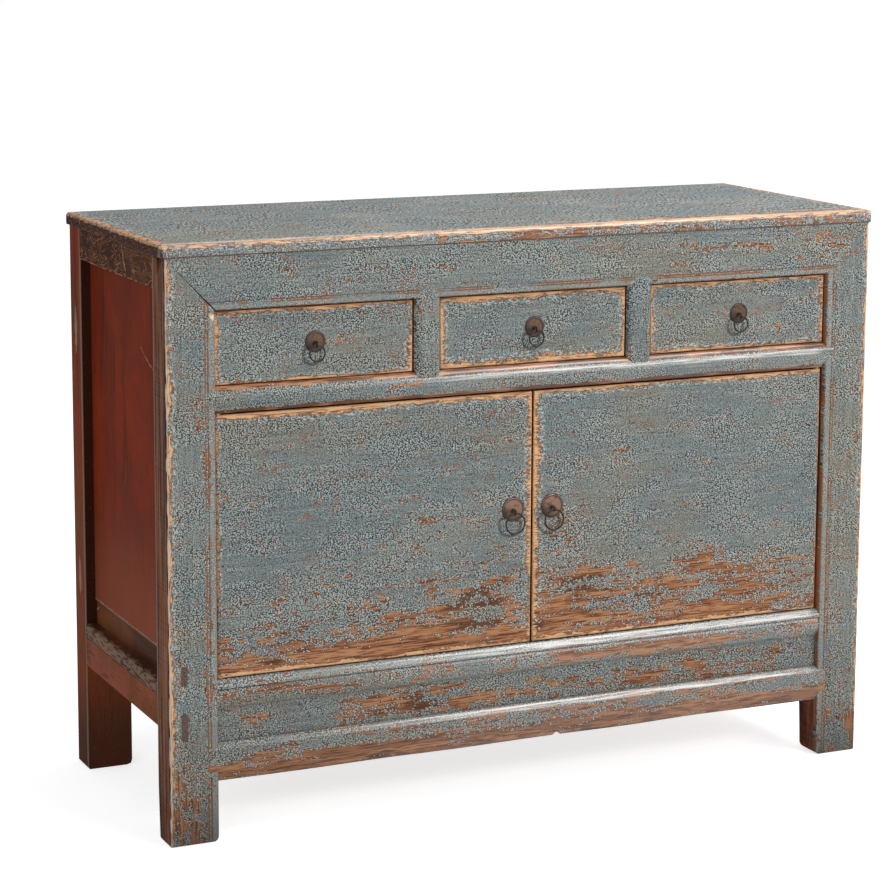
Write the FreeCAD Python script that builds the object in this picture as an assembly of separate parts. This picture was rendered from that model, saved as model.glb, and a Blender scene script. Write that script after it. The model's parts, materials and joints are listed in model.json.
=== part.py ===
import FreeCAD, Part
import math
import os

os.makedirs("parts", exist_ok=True)

V = FreeCAD.Vector
X_AXIS = V(1, 0, 0)
Y_AXIS = V(0, 1, 0)
Z_AXIS = V(0, 0, 1)

# A painted sideboard of framed timber: three drawers over two pivoting doors.
# Millimetres, +Z up, +X to the right as seen from the front, the front towards -Y.
# Depths are counted back from the front faces of the front posts.

# Whole object
HEIGHT = 850.0
OUT = 563.0               # outer faces of the posts, from the middle
DEPTH = 439.0             # front of the front posts to back of the back posts

# Ring pulls, which stand out furthest at the front
DOOR_RECESS = 8.0         # door and drawer faces behind the front of the posts
PIVOT_REACH = 8.5         # ring pivot in front of the face that carries it
PIVOT_DROP = 3.6          # ring pivot below the middle of its backplate
EYE_WIRE = 1.8
LEG_WIRE = 1.6            # the eye's wire is filed down where its legs lie together
EYE_PLAY = 0.35           # slack of the ring's wire in the eye

DRAWER_PULL = {"plate": 28.4, "ring": 27.0, "wire": 2.7, "height": 703.6}
DOOR_PULL = {"plate": 34.0, "ring": 34.6, "wire": 2.8, "height": 436.6, "from_middle": 31.6}


def eye_radius(pull):
    """Middle radius of the eye that a ring of this pull hangs in."""
    return pull["wire"] / 2 + EYE_PLAY + EYE_WIRE / 2


PULL_PROUD = PIVOT_REACH + eye_radius(DOOR_PULL) + EYE_WIRE / 2 - DOOR_RECESS
FRONT = PULL_PROUD - (DEPTH + PULL_PROUD) / 2
BACK = FRONT + DEPTH

# Frame
POST_DEEP = 51.0
OPENING = 491.0           # half width of the front opening between the post edges
BACK_POST_IN = 493.0
BEAD_ZONE = 16.5          # moulded band along the opening edge of a front post
TOP_THICK = 18.5
TOP_Z = HEIGHT - TOP_THICK
FRIEZE_Z = 756.0
FRIEZE_BEAD = 13.0
FRIEZE_DEEP = 38.0
MITRE_DEEP = 12.0
MID_RAIL_Z = (612.0, 650.0)
BOTTOM_RAIL_Z = (190.0, 233.5)
APRON_Z = (88.0, 143.0)
BASE_PANEL_DEPTH = 10.0
RAIL_DEEP = 45.0
APRON_DEEP = 30.0
ROLL_PROUD = 0.6          # how far the rail mouldings stand in front of the posts
RAIL_REACH = OPENING + BEAD_ZONE
GROOVE = 6.0
TENON = 20.0

# Top
TOP_SIDE = 4.5
TOP_FRONT = 1.5
TOP_SEAMS = (-162.0, 158.0)
TOP_BACK_SEAM = 374.0
SEAM_GAP = 0.7

# Drawers
DIVIDER_X = 170.33
DIVIDER_WIDE = 40.0
DIVIDER_DEEP = 40.0
DIVIDER_ROUND = 9.0
DRAWER_Z = (651.0, 753.6)
DRAWER_REST = 650.4       # underside of the drawer sides on their runners
DRAWER_HALF = 148.85
DRAWER_FRONT = 20.0
DRAWER_LONG = 390.0
DRAWER_SIDE = 10.0
DRAWER_SIDE_TOP = 741.0
DRAWER_FLOOR_Z = (657.0, 663.0)
RUNNER_THICK = 18.0

# Doors
DOOR_Z = (235.0, 609.0)
DOOR_THICK = 20.0
DOOR_GAP = 1.75           # from the middle of the cupboard to each free edge
DOOR_HINGE_EDGE = 489.8
PIVOT_IN = 7.0            # door pivot axis from the hinge edge and from the face
PIN_RADIUS = 5.0
PIN_PLAY = 0.06
PIN_TOP = 16.0
PIN_FOOT = 7.7
SOCKET_TOP = 22.0
SOCKET_FOOT = 8.0

# Sides and back
SIDE_PANEL_IN = 16.0
SIDE_THICK = 30.0
SIDE_TOP_Z = 785.0
SIDE_BOTTOM_Z = (165.0, 208.0)
LEDGE_Z = 228.5
SIDE_PANEL_Z = 263.0
PANEL_THICK = 10.0
BACK_THICK = 30.0
FLOOR_Z = (222.0, 240.0)
FLOOR_FRONT = 28.5


def at(depth):
    """Y of a point this deep behind the front of the posts."""
    return FRONT + depth


def plan(x, depth):
    return V(x, at(depth), 0)


def section(depth, z):
    return V(0, at(depth), z)


def face(x, z):
    return V(x, 0, z)


def outline(place, *steps):
    """Closed wire: a step is a corner, or a (through, end) pair for an arc."""
    first = place(*steps[0])
    here = first
    edges = []
    for step in steps[1:]:
        if isinstance(step[0], tuple):
            through, end = place(*step[0]), place(*step[1])
            edges.append(Part.Arc(here, through, end).toShape())
        else:
            end = place(*step)
            edges.append(Part.LineSegment(here, end).toShape())
        here = end
    edges.append(Part.LineSegment(here, first).toShape())
    return Part.Wire(edges)


# Ways to go along an outline's own two axes
AHEAD = (1, 0)
BACKWARD = (-1, 0)
UP = (0, 1)
DOWN = (0, -1)


def rounded(x, y, radius, arriving, leaving):
    """Steps that round the square corner x, y between two ways along an outline."""
    turn = radius * (1 - math.sqrt(0.5))
    start = (x - arriving[0] * radius, y - arriving[1] * radius)
    middle = (x + (leaving[0] - arriving[0]) * turn, y + (leaving[1] - arriving[1]) * turn)
    end = (x + leaving[0] * radius, y + leaving[1] * radius)
    return [start, (middle, end)]


def prism(wire, start, end, axis):
    """The outline pushed along one axis from start to end."""
    shape = Part.Face(wire)
    shape.translate(axis * start)
    return shape.extrude(axis * (end - start))


def block(x, depth, z):
    """A plain board given by its low and high X, depth and Z."""
    size = (x[1] - x[0], depth[1] - depth[0], z[1] - z[0])
    return Part.makeBox(*size, V(x[0], at(depth[0]), z[0]))


def other_side(shape):
    """The same piece on the left."""
    return shape.mirror(V(0, 0, 0), X_AXIS)


def cut_all(shape, *tools):
    for tool in tools:
        shape = shape.cut(tool)
    return shape


def joined(*shapes):
    return shapes[0].fuse(list(shapes[1:])).removeSplitter()


def ring_of_flats(profile, sides, centre, axis):
    """Closed ring of short straight lengths: profile corners are (radius, shift along the axis)."""
    stations = []
    for i in range(sides):
        outward = FreeCAD.Rotation(axis, 360.0 * i / sides).multVec(Z_AXIS)
        stations.append([centre + outward * radius + axis * shift for radius, shift in profile])
    faces = []
    for here, after in zip(stations, stations[1:] + stations[:1]):
        for i in range(len(profile)):
            corners = [here[i - 1], here[i], after[i], after[i - 1], here[i - 1]]
            faces.append(Part.Face(Part.makePolygon(corners)))
    return Part.Solid(Part.Shell(faces))


def wire_section(radius, sides, middle=0.0):
    """Corners of a many-sided wire section, its centre at this radius of a ring."""
    turns = [2 * math.pi * i / sides for i in range(sides)]
    return [(middle + radius * math.cos(turn), radius * math.sin(turn)) for turn in turns]


def bead_steps(width):
    """Moulding of the opening edge: quirk, fillet, quirk and a flat bead with a worn arris.

    Each corner is (offset from the opening edge, depth), from the flat inwards."""
    k = width / BEAD_ZONE
    return [
        (15.5 * k, 1.1), (14.6 * k, 0.3), (12.1 * k, 0.3), (11.2 * k, 1.2), (10.2 * k, 0.3),
        (2.6, 0.5), ((0.8, 1.3), (0.0, 3.1)),
    ]


def shifted(steps, change):
    """Outline steps with their points passed through change(offset, depth)."""
    moved = []
    for step in steps:
        if isinstance(step[0], tuple):
            moved.append((change(*step[0]), change(*step[1])))
        else:
            moved.append(change(*step))
    return moved


def front_post_blank():
    """Right front post: moulded edge, worn outer corner and rounded foot."""
    bead = shifted(bead_steps(BEAD_ZONE), lambda offset, depth: (OPENING + offset, depth))
    profile = outline(
        plan, (OUT, POST_DEEP), *rounded(OUT, 0, 3.5, DOWN, BACKWARD),
        (OPENING + BEAD_ZONE, 0), *bead, (OPENING, POST_DEEP))
    post = prism(profile, 0, TOP_Z, Z_AXIS)
    front_view = outline(
        face, (OUT, TOP_Z), *rounded(OUT, 0, 4, DOWN, BACKWARD),
        *rounded(OPENING, 0, 11, BACKWARD, UP), (OPENING, TOP_Z))
    side_view = outline(
        section, (0, TOP_Z), (0, 5), (1.2, 1.2), (5, 0), (POST_DEEP - 9, 0), (POST_DEEP - 5, 4),
        (POST_DEEP, 78), (POST_DEEP, TOP_Z))
    post = post.common(prism(front_view, BACK, FRONT - 1, Y_AXIS))
    return post.common(prism(side_view, 0, OUT + 1, X_AXIS))


def back_post_blank():
    """Right back post: square, with worn outer corner and rounded foot."""
    front = DEPTH - POST_DEEP
    profile = outline(
        plan, (OUT, front), (BACK_POST_IN, front), (BACK_POST_IN, DEPTH),
        *rounded(OUT, DEPTH, 3, AHEAD, DOWN))
    post = prism(profile, 0, TOP_Z, Z_AXIS)
    front_view = outline(
        face, (OUT, TOP_Z), (OUT, 3), (OUT - 3, 0), (BACK_POST_IN + 8, 0), (BACK_POST_IN + 2, 2),
        (BACK_POST_IN, 8), (BACK_POST_IN, TOP_Z))
    return post.common(prism(front_view, BACK + 1, FRONT, Y_AXIS))


def tenons(x_start, depth, z):
    """A tenon at each end of a front or back rail."""
    right = block((x_start, x_start + TENON), depth, z)
    return [right, other_side(right)]


def rail_mask(deep, z):
    """Room a moulded front rail may fill: between the posts, and over their beads in front."""
    end, soft, nose = RAIL_REACH, 7.0, -ROLL_PROUD - 0.8
    over = DOOR_RECESS + 1
    shape = outline(
        plan, (-OPENING, deep), (-OPENING, over), (-end, over),
        *rounded(-end, nose, soft, DOWN, AHEAD), *rounded(end, nose, soft, AHEAD, UP),
        (end, over), (OPENING, over), (OPENING, deep))
    return prism(shape, z[0] - 1, z[1] + 1, Z_AXIS)


def moulded_rail(profile, deep, z):
    """A rail whose front profile runs over the post beads with rounded ends."""
    bar = prism(profile, -RAIL_REACH - 1, RAIL_REACH + 1, X_AXIS)
    return bar.common(rail_mask(deep, z))


def frieze_blank():
    """Top front rail with its mitred faces, moulded lower edge and tenons."""
    lip = shifted(bead_steps(FRIEZE_BEAD), lambda offset, depth: (depth, FRIEZE_Z + offset))
    profile = outline(
        section, (FRIEZE_DEEP, FRIEZE_Z), (FRIEZE_DEEP, TOP_Z), (0, TOP_Z),
        (0, FRIEZE_Z + FRIEZE_BEAD), *lip)
    bar = prism(profile, -OUT, OUT, X_AXIS)
    middle = bar.common(block((-OPENING, OPENING), (-1, DEPTH), (FRIEZE_Z, TOP_Z)))
    wings = bar.common(mitre_block())
    return joined(middle, wings, *tenons(OPENING, (16, 30), (774, 820)))


def mitre_block():
    """The mitred front layer that the frieze holds and the posts give up."""
    shape = outline(face, (-OUT, TOP_Z), (-OPENING, FRIEZE_Z), (OPENING, FRIEZE_Z), (OUT, TOP_Z))
    return prism(shape, at(-5), at(MITRE_DEEP), Y_AXIS)


def mitre_crack():
    """The left mitre has opened: a wedge that widens towards the drawer."""
    shape = outline(
        face, (-OUT, TOP_Z), (-OPENING, FRIEZE_Z), (-OPENING + 1.6, FRIEZE_Z + 1.5))
    return prism(shape, at(-1), at(MITRE_DEEP), Y_AXIS)


def mitre_chip():
    """The flake lost from the left post below its mitre."""
    shape = outline(
        face, (-OPENING - 9, FRIEZE_Z + 2), (-OPENING + 1, FRIEZE_Z - 5),
        (-OPENING + 1, FRIEZE_Z - 15), (-OPENING - 4, FRIEZE_Z - 13), (-OPENING - 9, FRIEZE_Z - 6))
    return prism(shape, at(-1), at(3.2), Y_AXIS)


def mid_rail_blank():
    """Half-round rail between the drawers and the doors."""
    low, high = MID_RAIL_Z
    profile = outline(
        section, (RAIL_DEEP, low), (RAIL_DEEP, high), (8, high),
        ((2.2, high - 5.0), (-ROLL_PROUD, high - 12)),
        ((1.0, low + 11), (7.5, low)))
    rail = moulded_rail(profile, RAIL_DEEP, MID_RAIL_Z)
    return joined(rail, *tenons(OPENING, (16, 30), (low + 6, high - 6)))


def bottom_rail_blank():
    """Rail under the doors: a roll, a quirk and a band that curves under."""
    low, high = BOTTOM_RAIL_Z
    profile = outline(
        section, (RAIL_DEEP, low), (RAIL_DEEP, FLOOR_Z[0]), (FLOOR_FRONT, FLOOR_Z[0]),
        (FLOOR_FRONT, high), (9.0, high),
        ((3.1, high - 4.6), (0.2, high - 11.5)),
        (1.0, high - 12.6), (4.4, high - 13.6), (2.6, high - 15.0),
        ((1.2, high - 27), (BASE_PANEL_DEPTH, low)))
    rail = moulded_rail(profile, RAIL_DEEP, BOTTOM_RAIL_Z)
    return joined(rail, *tenons(OPENING, (18, 30), (low + 5, FLOOR_Z[0] - 6)))


def apron_blank():
    """Lowest front rail: a worn roll above a face whose lower edge wanders."""
    low, high = APRON_Z
    profile = outline(
        section, (APRON_DEEP, low - 2), (APRON_DEEP, high), (8, high),
        ((2.5, high - 3.4), (-ROLL_PROUD, high - 9)),
        ((-0.4, high - 15), (-0.2, high - 22)),
        ((-0.2, high - 34), (1.6, low + 8)), ((3.4, low + 3), (8, low - 2)))
    rail = moulded_rail(profile, APRON_DEEP, APRON_Z)
    wander = [(-560, 0), (-450, -0.4), (-340, -0.8), (-230, 0.6), (-130, -0.6), (-30, 0.6),
              (80, 0.8), (170, 0.2), (260, 2.6), (360, 1.8), (450, 1.4), (560, 1.4)]
    worn = Part.BSplineCurve()
    worn.interpolate([face(x, low + rise) for x, rise in wander])
    side = [face(560, low + 1.4), face(560, high + 9), face(-560, high + 9), face(-560, low)]
    edges = [worn.toShape()]
    edges += [Part.LineSegment(a, b).toShape() for a, b in zip(side, side[1:])]
    rail = rail.common(prism(Part.Wire(edges), at(-9), at(APRON_DEEP + 1), Y_AXIS))
    nick = outline(face, (31, low - 3), (38, low + 5), ((42, low + 6), (46, low + 4)), (50, low - 3))
    rail = rail.cut(prism(nick, at(-9), at(APRON_DEEP + 1), Y_AXIS))
    return joined(rail, *tenons(OPENING, (12, 22), (low + 8, high - 8)))


def divider_blank(x):
    """Round-edged upright between two drawers, laid over both rail mouldings."""
    left, right = x - DIVIDER_WIDE / 2, x + DIVIDER_WIDE / 2
    set_back = 0.3
    profile = outline(
        plan, (left, DIVIDER_DEEP), *rounded(left, set_back, DIVIDER_ROUND, DOWN, AHEAD),
        *rounded(right, set_back, DIVIDER_ROUND, AHEAD, UP), (right, DIVIDER_DEEP))
    low, high = MID_RAIL_Z[1], FRIEZE_Z
    bar = prism(profile, low - 20, high + 20, Z_AXIS)
    over = DIVIDER_ROUND + set_back
    reach = outline(
        section, (0, low - 11), (over, low - 11), (over, low), (DIVIDER_DEEP, low),
        (DIVIDER_DEEP, high), (over, high), (over, high + FRIEZE_BEAD), (0, high + FRIEZE_BEAD))
    return bar.common(prism(reach, left - 1, right + 1, X_AXIS))


def base_panel():
    """Recessed board between the bottom rail and the apron, in grooves all round."""
    return block((-OPENING - GROOVE, OPENING + GROOVE),
                 (BASE_PANEL_DEPTH, BASE_PANEL_DEPTH + 12),
                 (APRON_Z[1] - GROOVE, BOTTOM_RAIL_Z[0] + GROOVE))


def side_rail(z, tenon_z):
    """Right side rail flush with the posts, tenoned into both."""
    x = (OUT - SIDE_THICK, OUT)
    body = block(x, (POST_DEEP, DEPTH - POST_DEEP), z)
    tenon = block((x[0] + 9, x[1] - 9), (POST_DEEP - TENON, DEPTH - POST_DEEP + TENON), tenon_z)
    return joined(body, tenon)


def side_panel():
    """Right side panel: a wide lacquered board held in grooves, its lower edge worn."""
    outer = OUT - SIDE_PANEL_IN
    inner = outer - PANEL_THICK
    shape = outline(
        face, *rounded(outer, SIDE_PANEL_Z, 4, DOWN, BACKWARD), (inner, SIDE_PANEL_Z),
        (inner, SIDE_TOP_Z + GROOVE), (outer, SIDE_TOP_Z + GROOVE))
    return prism(shape, at(POST_DEEP - GROOVE), at(DEPTH - POST_DEEP + GROOVE), Y_AXIS)


def side_lower_board():
    """Darker board that closes the right side between the panel and the rail."""
    outer = OUT - SIDE_PANEL_IN - 2
    return block((outer - PANEL_THICK, outer), (POST_DEEP - GROOVE, DEPTH - POST_DEEP + GROOVE),
                 (SIDE_BOTTOM_Z[1], SIDE_PANEL_Z))


def side_ledge():
    """Strip planted on the right bottom rail in front of the lower board."""
    inner = OUT - SIDE_PANEL_IN - 2
    low = SIDE_BOTTOM_Z[1]
    shape = outline(
        face, (inner, low), (inner, LEDGE_Z), *rounded(OUT, LEDGE_Z, 3, AHEAD, DOWN),
        (OUT, low + 1.2), (OUT - 1.2, low))
    return prism(shape, at(POST_DEEP), at(DEPTH - POST_DEEP), Y_AXIS)


def back_rail(z, tenon_z):
    depth = (DEPTH - BACK_THICK, DEPTH)
    body = block((-BACK_POST_IN, BACK_POST_IN), depth, z)
    return joined(body, *tenons(BACK_POST_IN, (DEPTH - 20, DEPTH - 8), tenon_z))


def back_panel(x, z):
    return block(x, (DEPTH - BACK_THICK + PANEL_THICK, DEPTH - PANEL_THICK), z)


def top_boards():
    """Three butted lengths of top board with worn edges and one long seam."""
    soft, under, corner = 6.0, 2.0, 7.0
    nose, side = -TOP_FRONT, OUT + TOP_SIDE
    seam = TOP_BACK_SEAM
    profile = outline(
        section, (DEPTH, TOP_Z), *rounded(DEPTH, HEIGHT, 3, UP, BACKWARD),
        (seam + 1, HEIGHT), (seam, HEIGHT - 1.4), (seam - 1, HEIGHT),
        *rounded(nose, HEIGHT, soft, BACKWARD, DOWN), *rounded(nose, TOP_Z, under, DOWN, AHEAD))
    board = prism(profile, -side, side, X_AXIS)
    front_view = outline(
        face, *rounded(-side, TOP_Z, under, BACKWARD, UP), *rounded(-side, HEIGHT, soft, UP, AHEAD),
        *rounded(side, HEIGHT, soft, AHEAD, DOWN), *rounded(side, TOP_Z, under, DOWN, BACKWARD))
    board = board.common(prism(front_view, at(-9), at(DEPTH + 9), Y_AXIS))
    plan_view = outline(
        plan, (-side, DEPTH), *rounded(-side, nose, corner, DOWN, AHEAD),
        *rounded(side, nose, corner, AHEAD, UP), (side, DEPTH))
    board = board.common(prism(plan_view, TOP_Z - 1, HEIGHT + 1, Z_AXIS))
    edges = [-side - 1, TOP_SEAMS[0], TOP_SEAMS[1], side + 1]
    lengths = []
    for start, end in zip(edges, edges[1:]):
        room = block((start + SEAM_GAP / 2, end - SEAM_GAP / 2), (-9, DEPTH + 9), (TOP_Z - 1, HEIGHT + 1))
        lengths.append(board.common(room))
    return lengths


def top_cleats():
    """Battens under the two butt joints of the top."""
    return [block((x - 25, x + 25), (FRIEZE_DEEP, DEPTH - BACK_THICK), (TOP_Z - 20, TOP_Z))
            for x in TOP_SEAMS]


def floor_boards(posts):
    """Cupboard floor: boards laid front to back on the two bottom rails."""
    count = 6
    half = OUT - SIDE_PANEL_IN - 2 - PANEL_THICK
    pitch = 2 * half / count
    depth = (FLOOR_FRONT, DEPTH - BACK_THICK + PANEL_THICK)
    boards = []
    for i in range(count):
        x = -half + i * pitch
        boards.append(cut_all(block((x, x + pitch - 0.6), depth, FLOOR_Z), *posts))
    return boards


def drawer_runners(posts):
    """Rebated runners: a bearing strip with a guide along it for each gap between drawers."""
    depth = (RAIL_DEEP, DEPTH - BACK_THICK)
    top = MID_RAIL_Z[1]
    bearer = (top - RUNNER_THICK, top)
    guide = (top, top + 15)
    panel = OUT - SIDE_PANEL_IN - PANEL_THICK
    runners = []
    for x in (-DIVIDER_X, DIVIDER_X):
        runners.append(joined(block((x - 31, x + 31), depth, bearer),
                              block((x - 19, x + 19), depth, guide)))
    end = joined(block((OPENING - 29, panel), depth, bearer),
                 block((OPENING + 0.4, panel), depth, guide))
    end = cut_all(end, *posts)
    return runners + [end, cut_all(other_side(end), *posts)]


def dovetail_sides(middle):
    """Both sides of a drawer, tailed into the back of its front, and the back board."""
    front_back = DOOR_RECESS + DRAWER_FRONT
    low, high = DRAWER_REST, DRAWER_SIDE_TOP
    end = DOOR_RECESS + DRAWER_LONG
    tail, count, deep, flare = 18.0, 3, 12.0, 2.0
    pitch = (high - low) / count
    steps = [(end, low), (end, high), (front_back, high)]
    for i in reversed(range(count)):
        mid = low + pitch * (i + 0.5)
        steps += [(front_back, mid + tail / 2), (front_back - deep, mid + tail / 2 + flare),
                  (front_back - deep, mid - tail / 2 - flare), (front_back, mid - tail / 2)]
    profile = outline(section, (front_back, low), *steps)
    outer = DRAWER_HALF - 0.6
    right = prism(profile, middle + outer - DRAWER_SIDE, middle + outer, X_AXIS)
    left = prism(profile, middle - outer, middle - outer + DRAWER_SIDE, X_AXIS)
    inner = outer - DRAWER_SIDE / 2
    back = block((middle - inner, middle + inner), (end - 24, end - 12), (DRAWER_FLOOR_Z[1], high - 4))
    return [right.cut(back), left.cut(back), back]


def drawer_front(middle):
    """Drawer front with worn, rounded edges and corners."""
    low, high = DRAWER_Z
    soft = 2.8
    near, far = DOOR_RECESS, DOOR_RECESS + DRAWER_FRONT
    left, right = middle - DRAWER_HALF, middle + DRAWER_HALF
    profile = outline(
        plan, (left, far), *rounded(left, near, soft, DOWN, AHEAD),
        *rounded(right, near, soft, AHEAD, UP), (right, far))
    edge_view = outline(
        section, (far, low), (far, high), *rounded(near, high, soft, BACKWARD, DOWN),
        *rounded(near, low, soft, DOWN, AHEAD))
    board = prism(profile, low, high, Z_AXIS)
    return board.common(prism(edge_view, left, right, X_AXIS))


def drawer_floor(middle):
    inner = DRAWER_HALF - 0.6 - DRAWER_SIDE / 2
    start = DOOR_RECESS + DRAWER_FRONT - GROOVE
    return block((middle - inner, middle + inner), (start, DOOR_RECESS + DRAWER_LONG), DRAWER_FLOOR_Z)


def door_slab():
    """Right door: rounded edges, the hinge edge also behind so that it turns clear, and pivot pins."""
    near, far = DOOR_RECESS, DOOR_RECESS + DOOR_THICK
    soft = 3.0
    low, high = DOOR_Z
    profile = outline(
        plan, (DOOR_GAP, far), *rounded(DOOR_GAP, near, soft, DOWN, AHEAD),
        *rounded(DOOR_HINGE_EDGE, near, PIVOT_IN, AHEAD, UP),
        *rounded(DOOR_HINGE_EDGE, far, PIVOT_IN - 1, UP, BACKWARD))
    edge_view = outline(
        section, (far, low), (far, high), *rounded(near, high, soft, BACKWARD, DOWN),
        *rounded(near, low, soft, DOWN, AHEAD))
    slab = prism(profile, low, high, Z_AXIS)
    slab = slab.common(prism(edge_view, 0, OUT, X_AXIS))
    return joined(slab, door_pin(low - PIN_FOOT, low + 1, PIN_RADIUS),
                  door_pin(high - 1, high + PIN_TOP, PIN_RADIUS))


def door_pin(low, high, radius):
    """A round bar on the right door's pivot axis."""
    foot = V(DOOR_HINGE_EDGE - PIVOT_IN, at(DOOR_RECESS + PIVOT_IN), low)
    return Part.makeCylinder(radius, high - low, foot, Z_AXIS)


def pin_sockets():
    """Holes for the pivot pins of both doors in the mid rail and the bottom rail."""
    radius = PIN_RADIUS + PIN_PLAY
    above = door_pin(MID_RAIL_Z[0] - 1, MID_RAIL_Z[0] + SOCKET_TOP, radius)
    below = door_pin(BOTTOM_RAIL_Z[1] - SOCKET_FOOT, BOTTOM_RAIL_Z[1] + 1, radius)
    return [above, below, other_side(above), other_side(below)]


def door_battens():
    """Two upright battens that keep the right door's boards flat."""
    near = DOOR_RECESS + DOOR_THICK
    battens = []
    for x in (DOOR_HINGE_EDGE - 82, DOOR_GAP + 76):
        shape = outline(
            plan, (x - 20, near), (x - 20, near + 12), (x - 16, near + 16), (x + 16, near + 16),
            (x + 20, near + 12), (x + 20, near))
        battens.append(prism(shape, DOOR_Z[0] + 13, DOOR_Z[1] - 13, Z_AXIS))
    return battens


def backplate(pull, x):
    """Thin disc with a raised rim, slightly dished, with a hole for the pin."""
    radius = pull["plate"] / 2
    profile = [(1.6, 0.0), (radius, 0.0), (radius, -0.7), (radius - 1.1, -1.3),
               (radius - 2.4, -0.9), (1.6, -1.4)]
    return ring_of_flats(profile, 24, V(x, at(DOOR_RECESS), pull["height"]), Y_AXIS)


def ring_pivot(pull, x):
    return V(x, at(DOOR_RECESS - PIVOT_REACH), pull["height"] - PIVOT_DROP)


def split_pin(pull, x, thick):
    """Eye of bent wire whose two legs pass through the board and are clenched behind."""
    pivot = ring_pivot(pull, x)
    reach = eye_radius(pull)
    loop = ring_of_flats(wire_section(EYE_WIRE / 2, 6, reach), 12, pivot, X_AXIS)
    behind = at(DOOR_RECESS + thick + 0.9)
    legs = []
    for side in (-1, 1):
        foot = x + side * 0.7
        route = [V(foot, pivot.y + reach * 0.6, pivot.z + reach * 0.8),
                 V(foot, pivot.y + reach * 1.5, pull["height"]),
                 V(foot, behind, pull["height"]),
                 V(foot + side * 11, behind, pull["height"])]
        corners = [V(across, along, 0) for across, along in wire_section(LEG_WIRE / 2, 6)]
        start = Part.makePolygon(corners + corners[:1])
        start.Placement = FreeCAD.Placement(route[0], FreeCAD.Rotation(Z_AXIS, route[1] - route[0]))
        mitred = 1
        legs.append(Part.makePolygon(route).makePipeShell([start], True, False, mitred))
    return joined(loop, *legs)


def ring(pull, x):
    """Ring hanging from its top in the eye."""
    middle_radius = (pull["ring"] - pull["wire"]) / 2
    centre = ring_pivot(pull, x) - Z_AXIS * middle_radius
    return ring_of_flats(wire_section(pull["wire"] / 2, 8, middle_radius), 24, centre, Y_AXIS)


def mortise_plugs():
    """Two plugs with worn corners let into the face of the left front post."""
    plugs = []
    for low, high in ((232.0, 260.0), (152.0, 193.0)):
        x, half, slope = -540.5, 4.5, 2.4
        shape = outline(
            face, (x - half, low + slope), (x - half + slope, low), (x + half - slope, low),
            (x + half, low + slope), (x + half, high - slope), (x + half - slope, high),
            (x - half + slope, high), (x - half, high - slope))
        plugs.append(prism(shape, at(-0.3), at(12), Y_AXIS))
    return plugs


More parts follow.
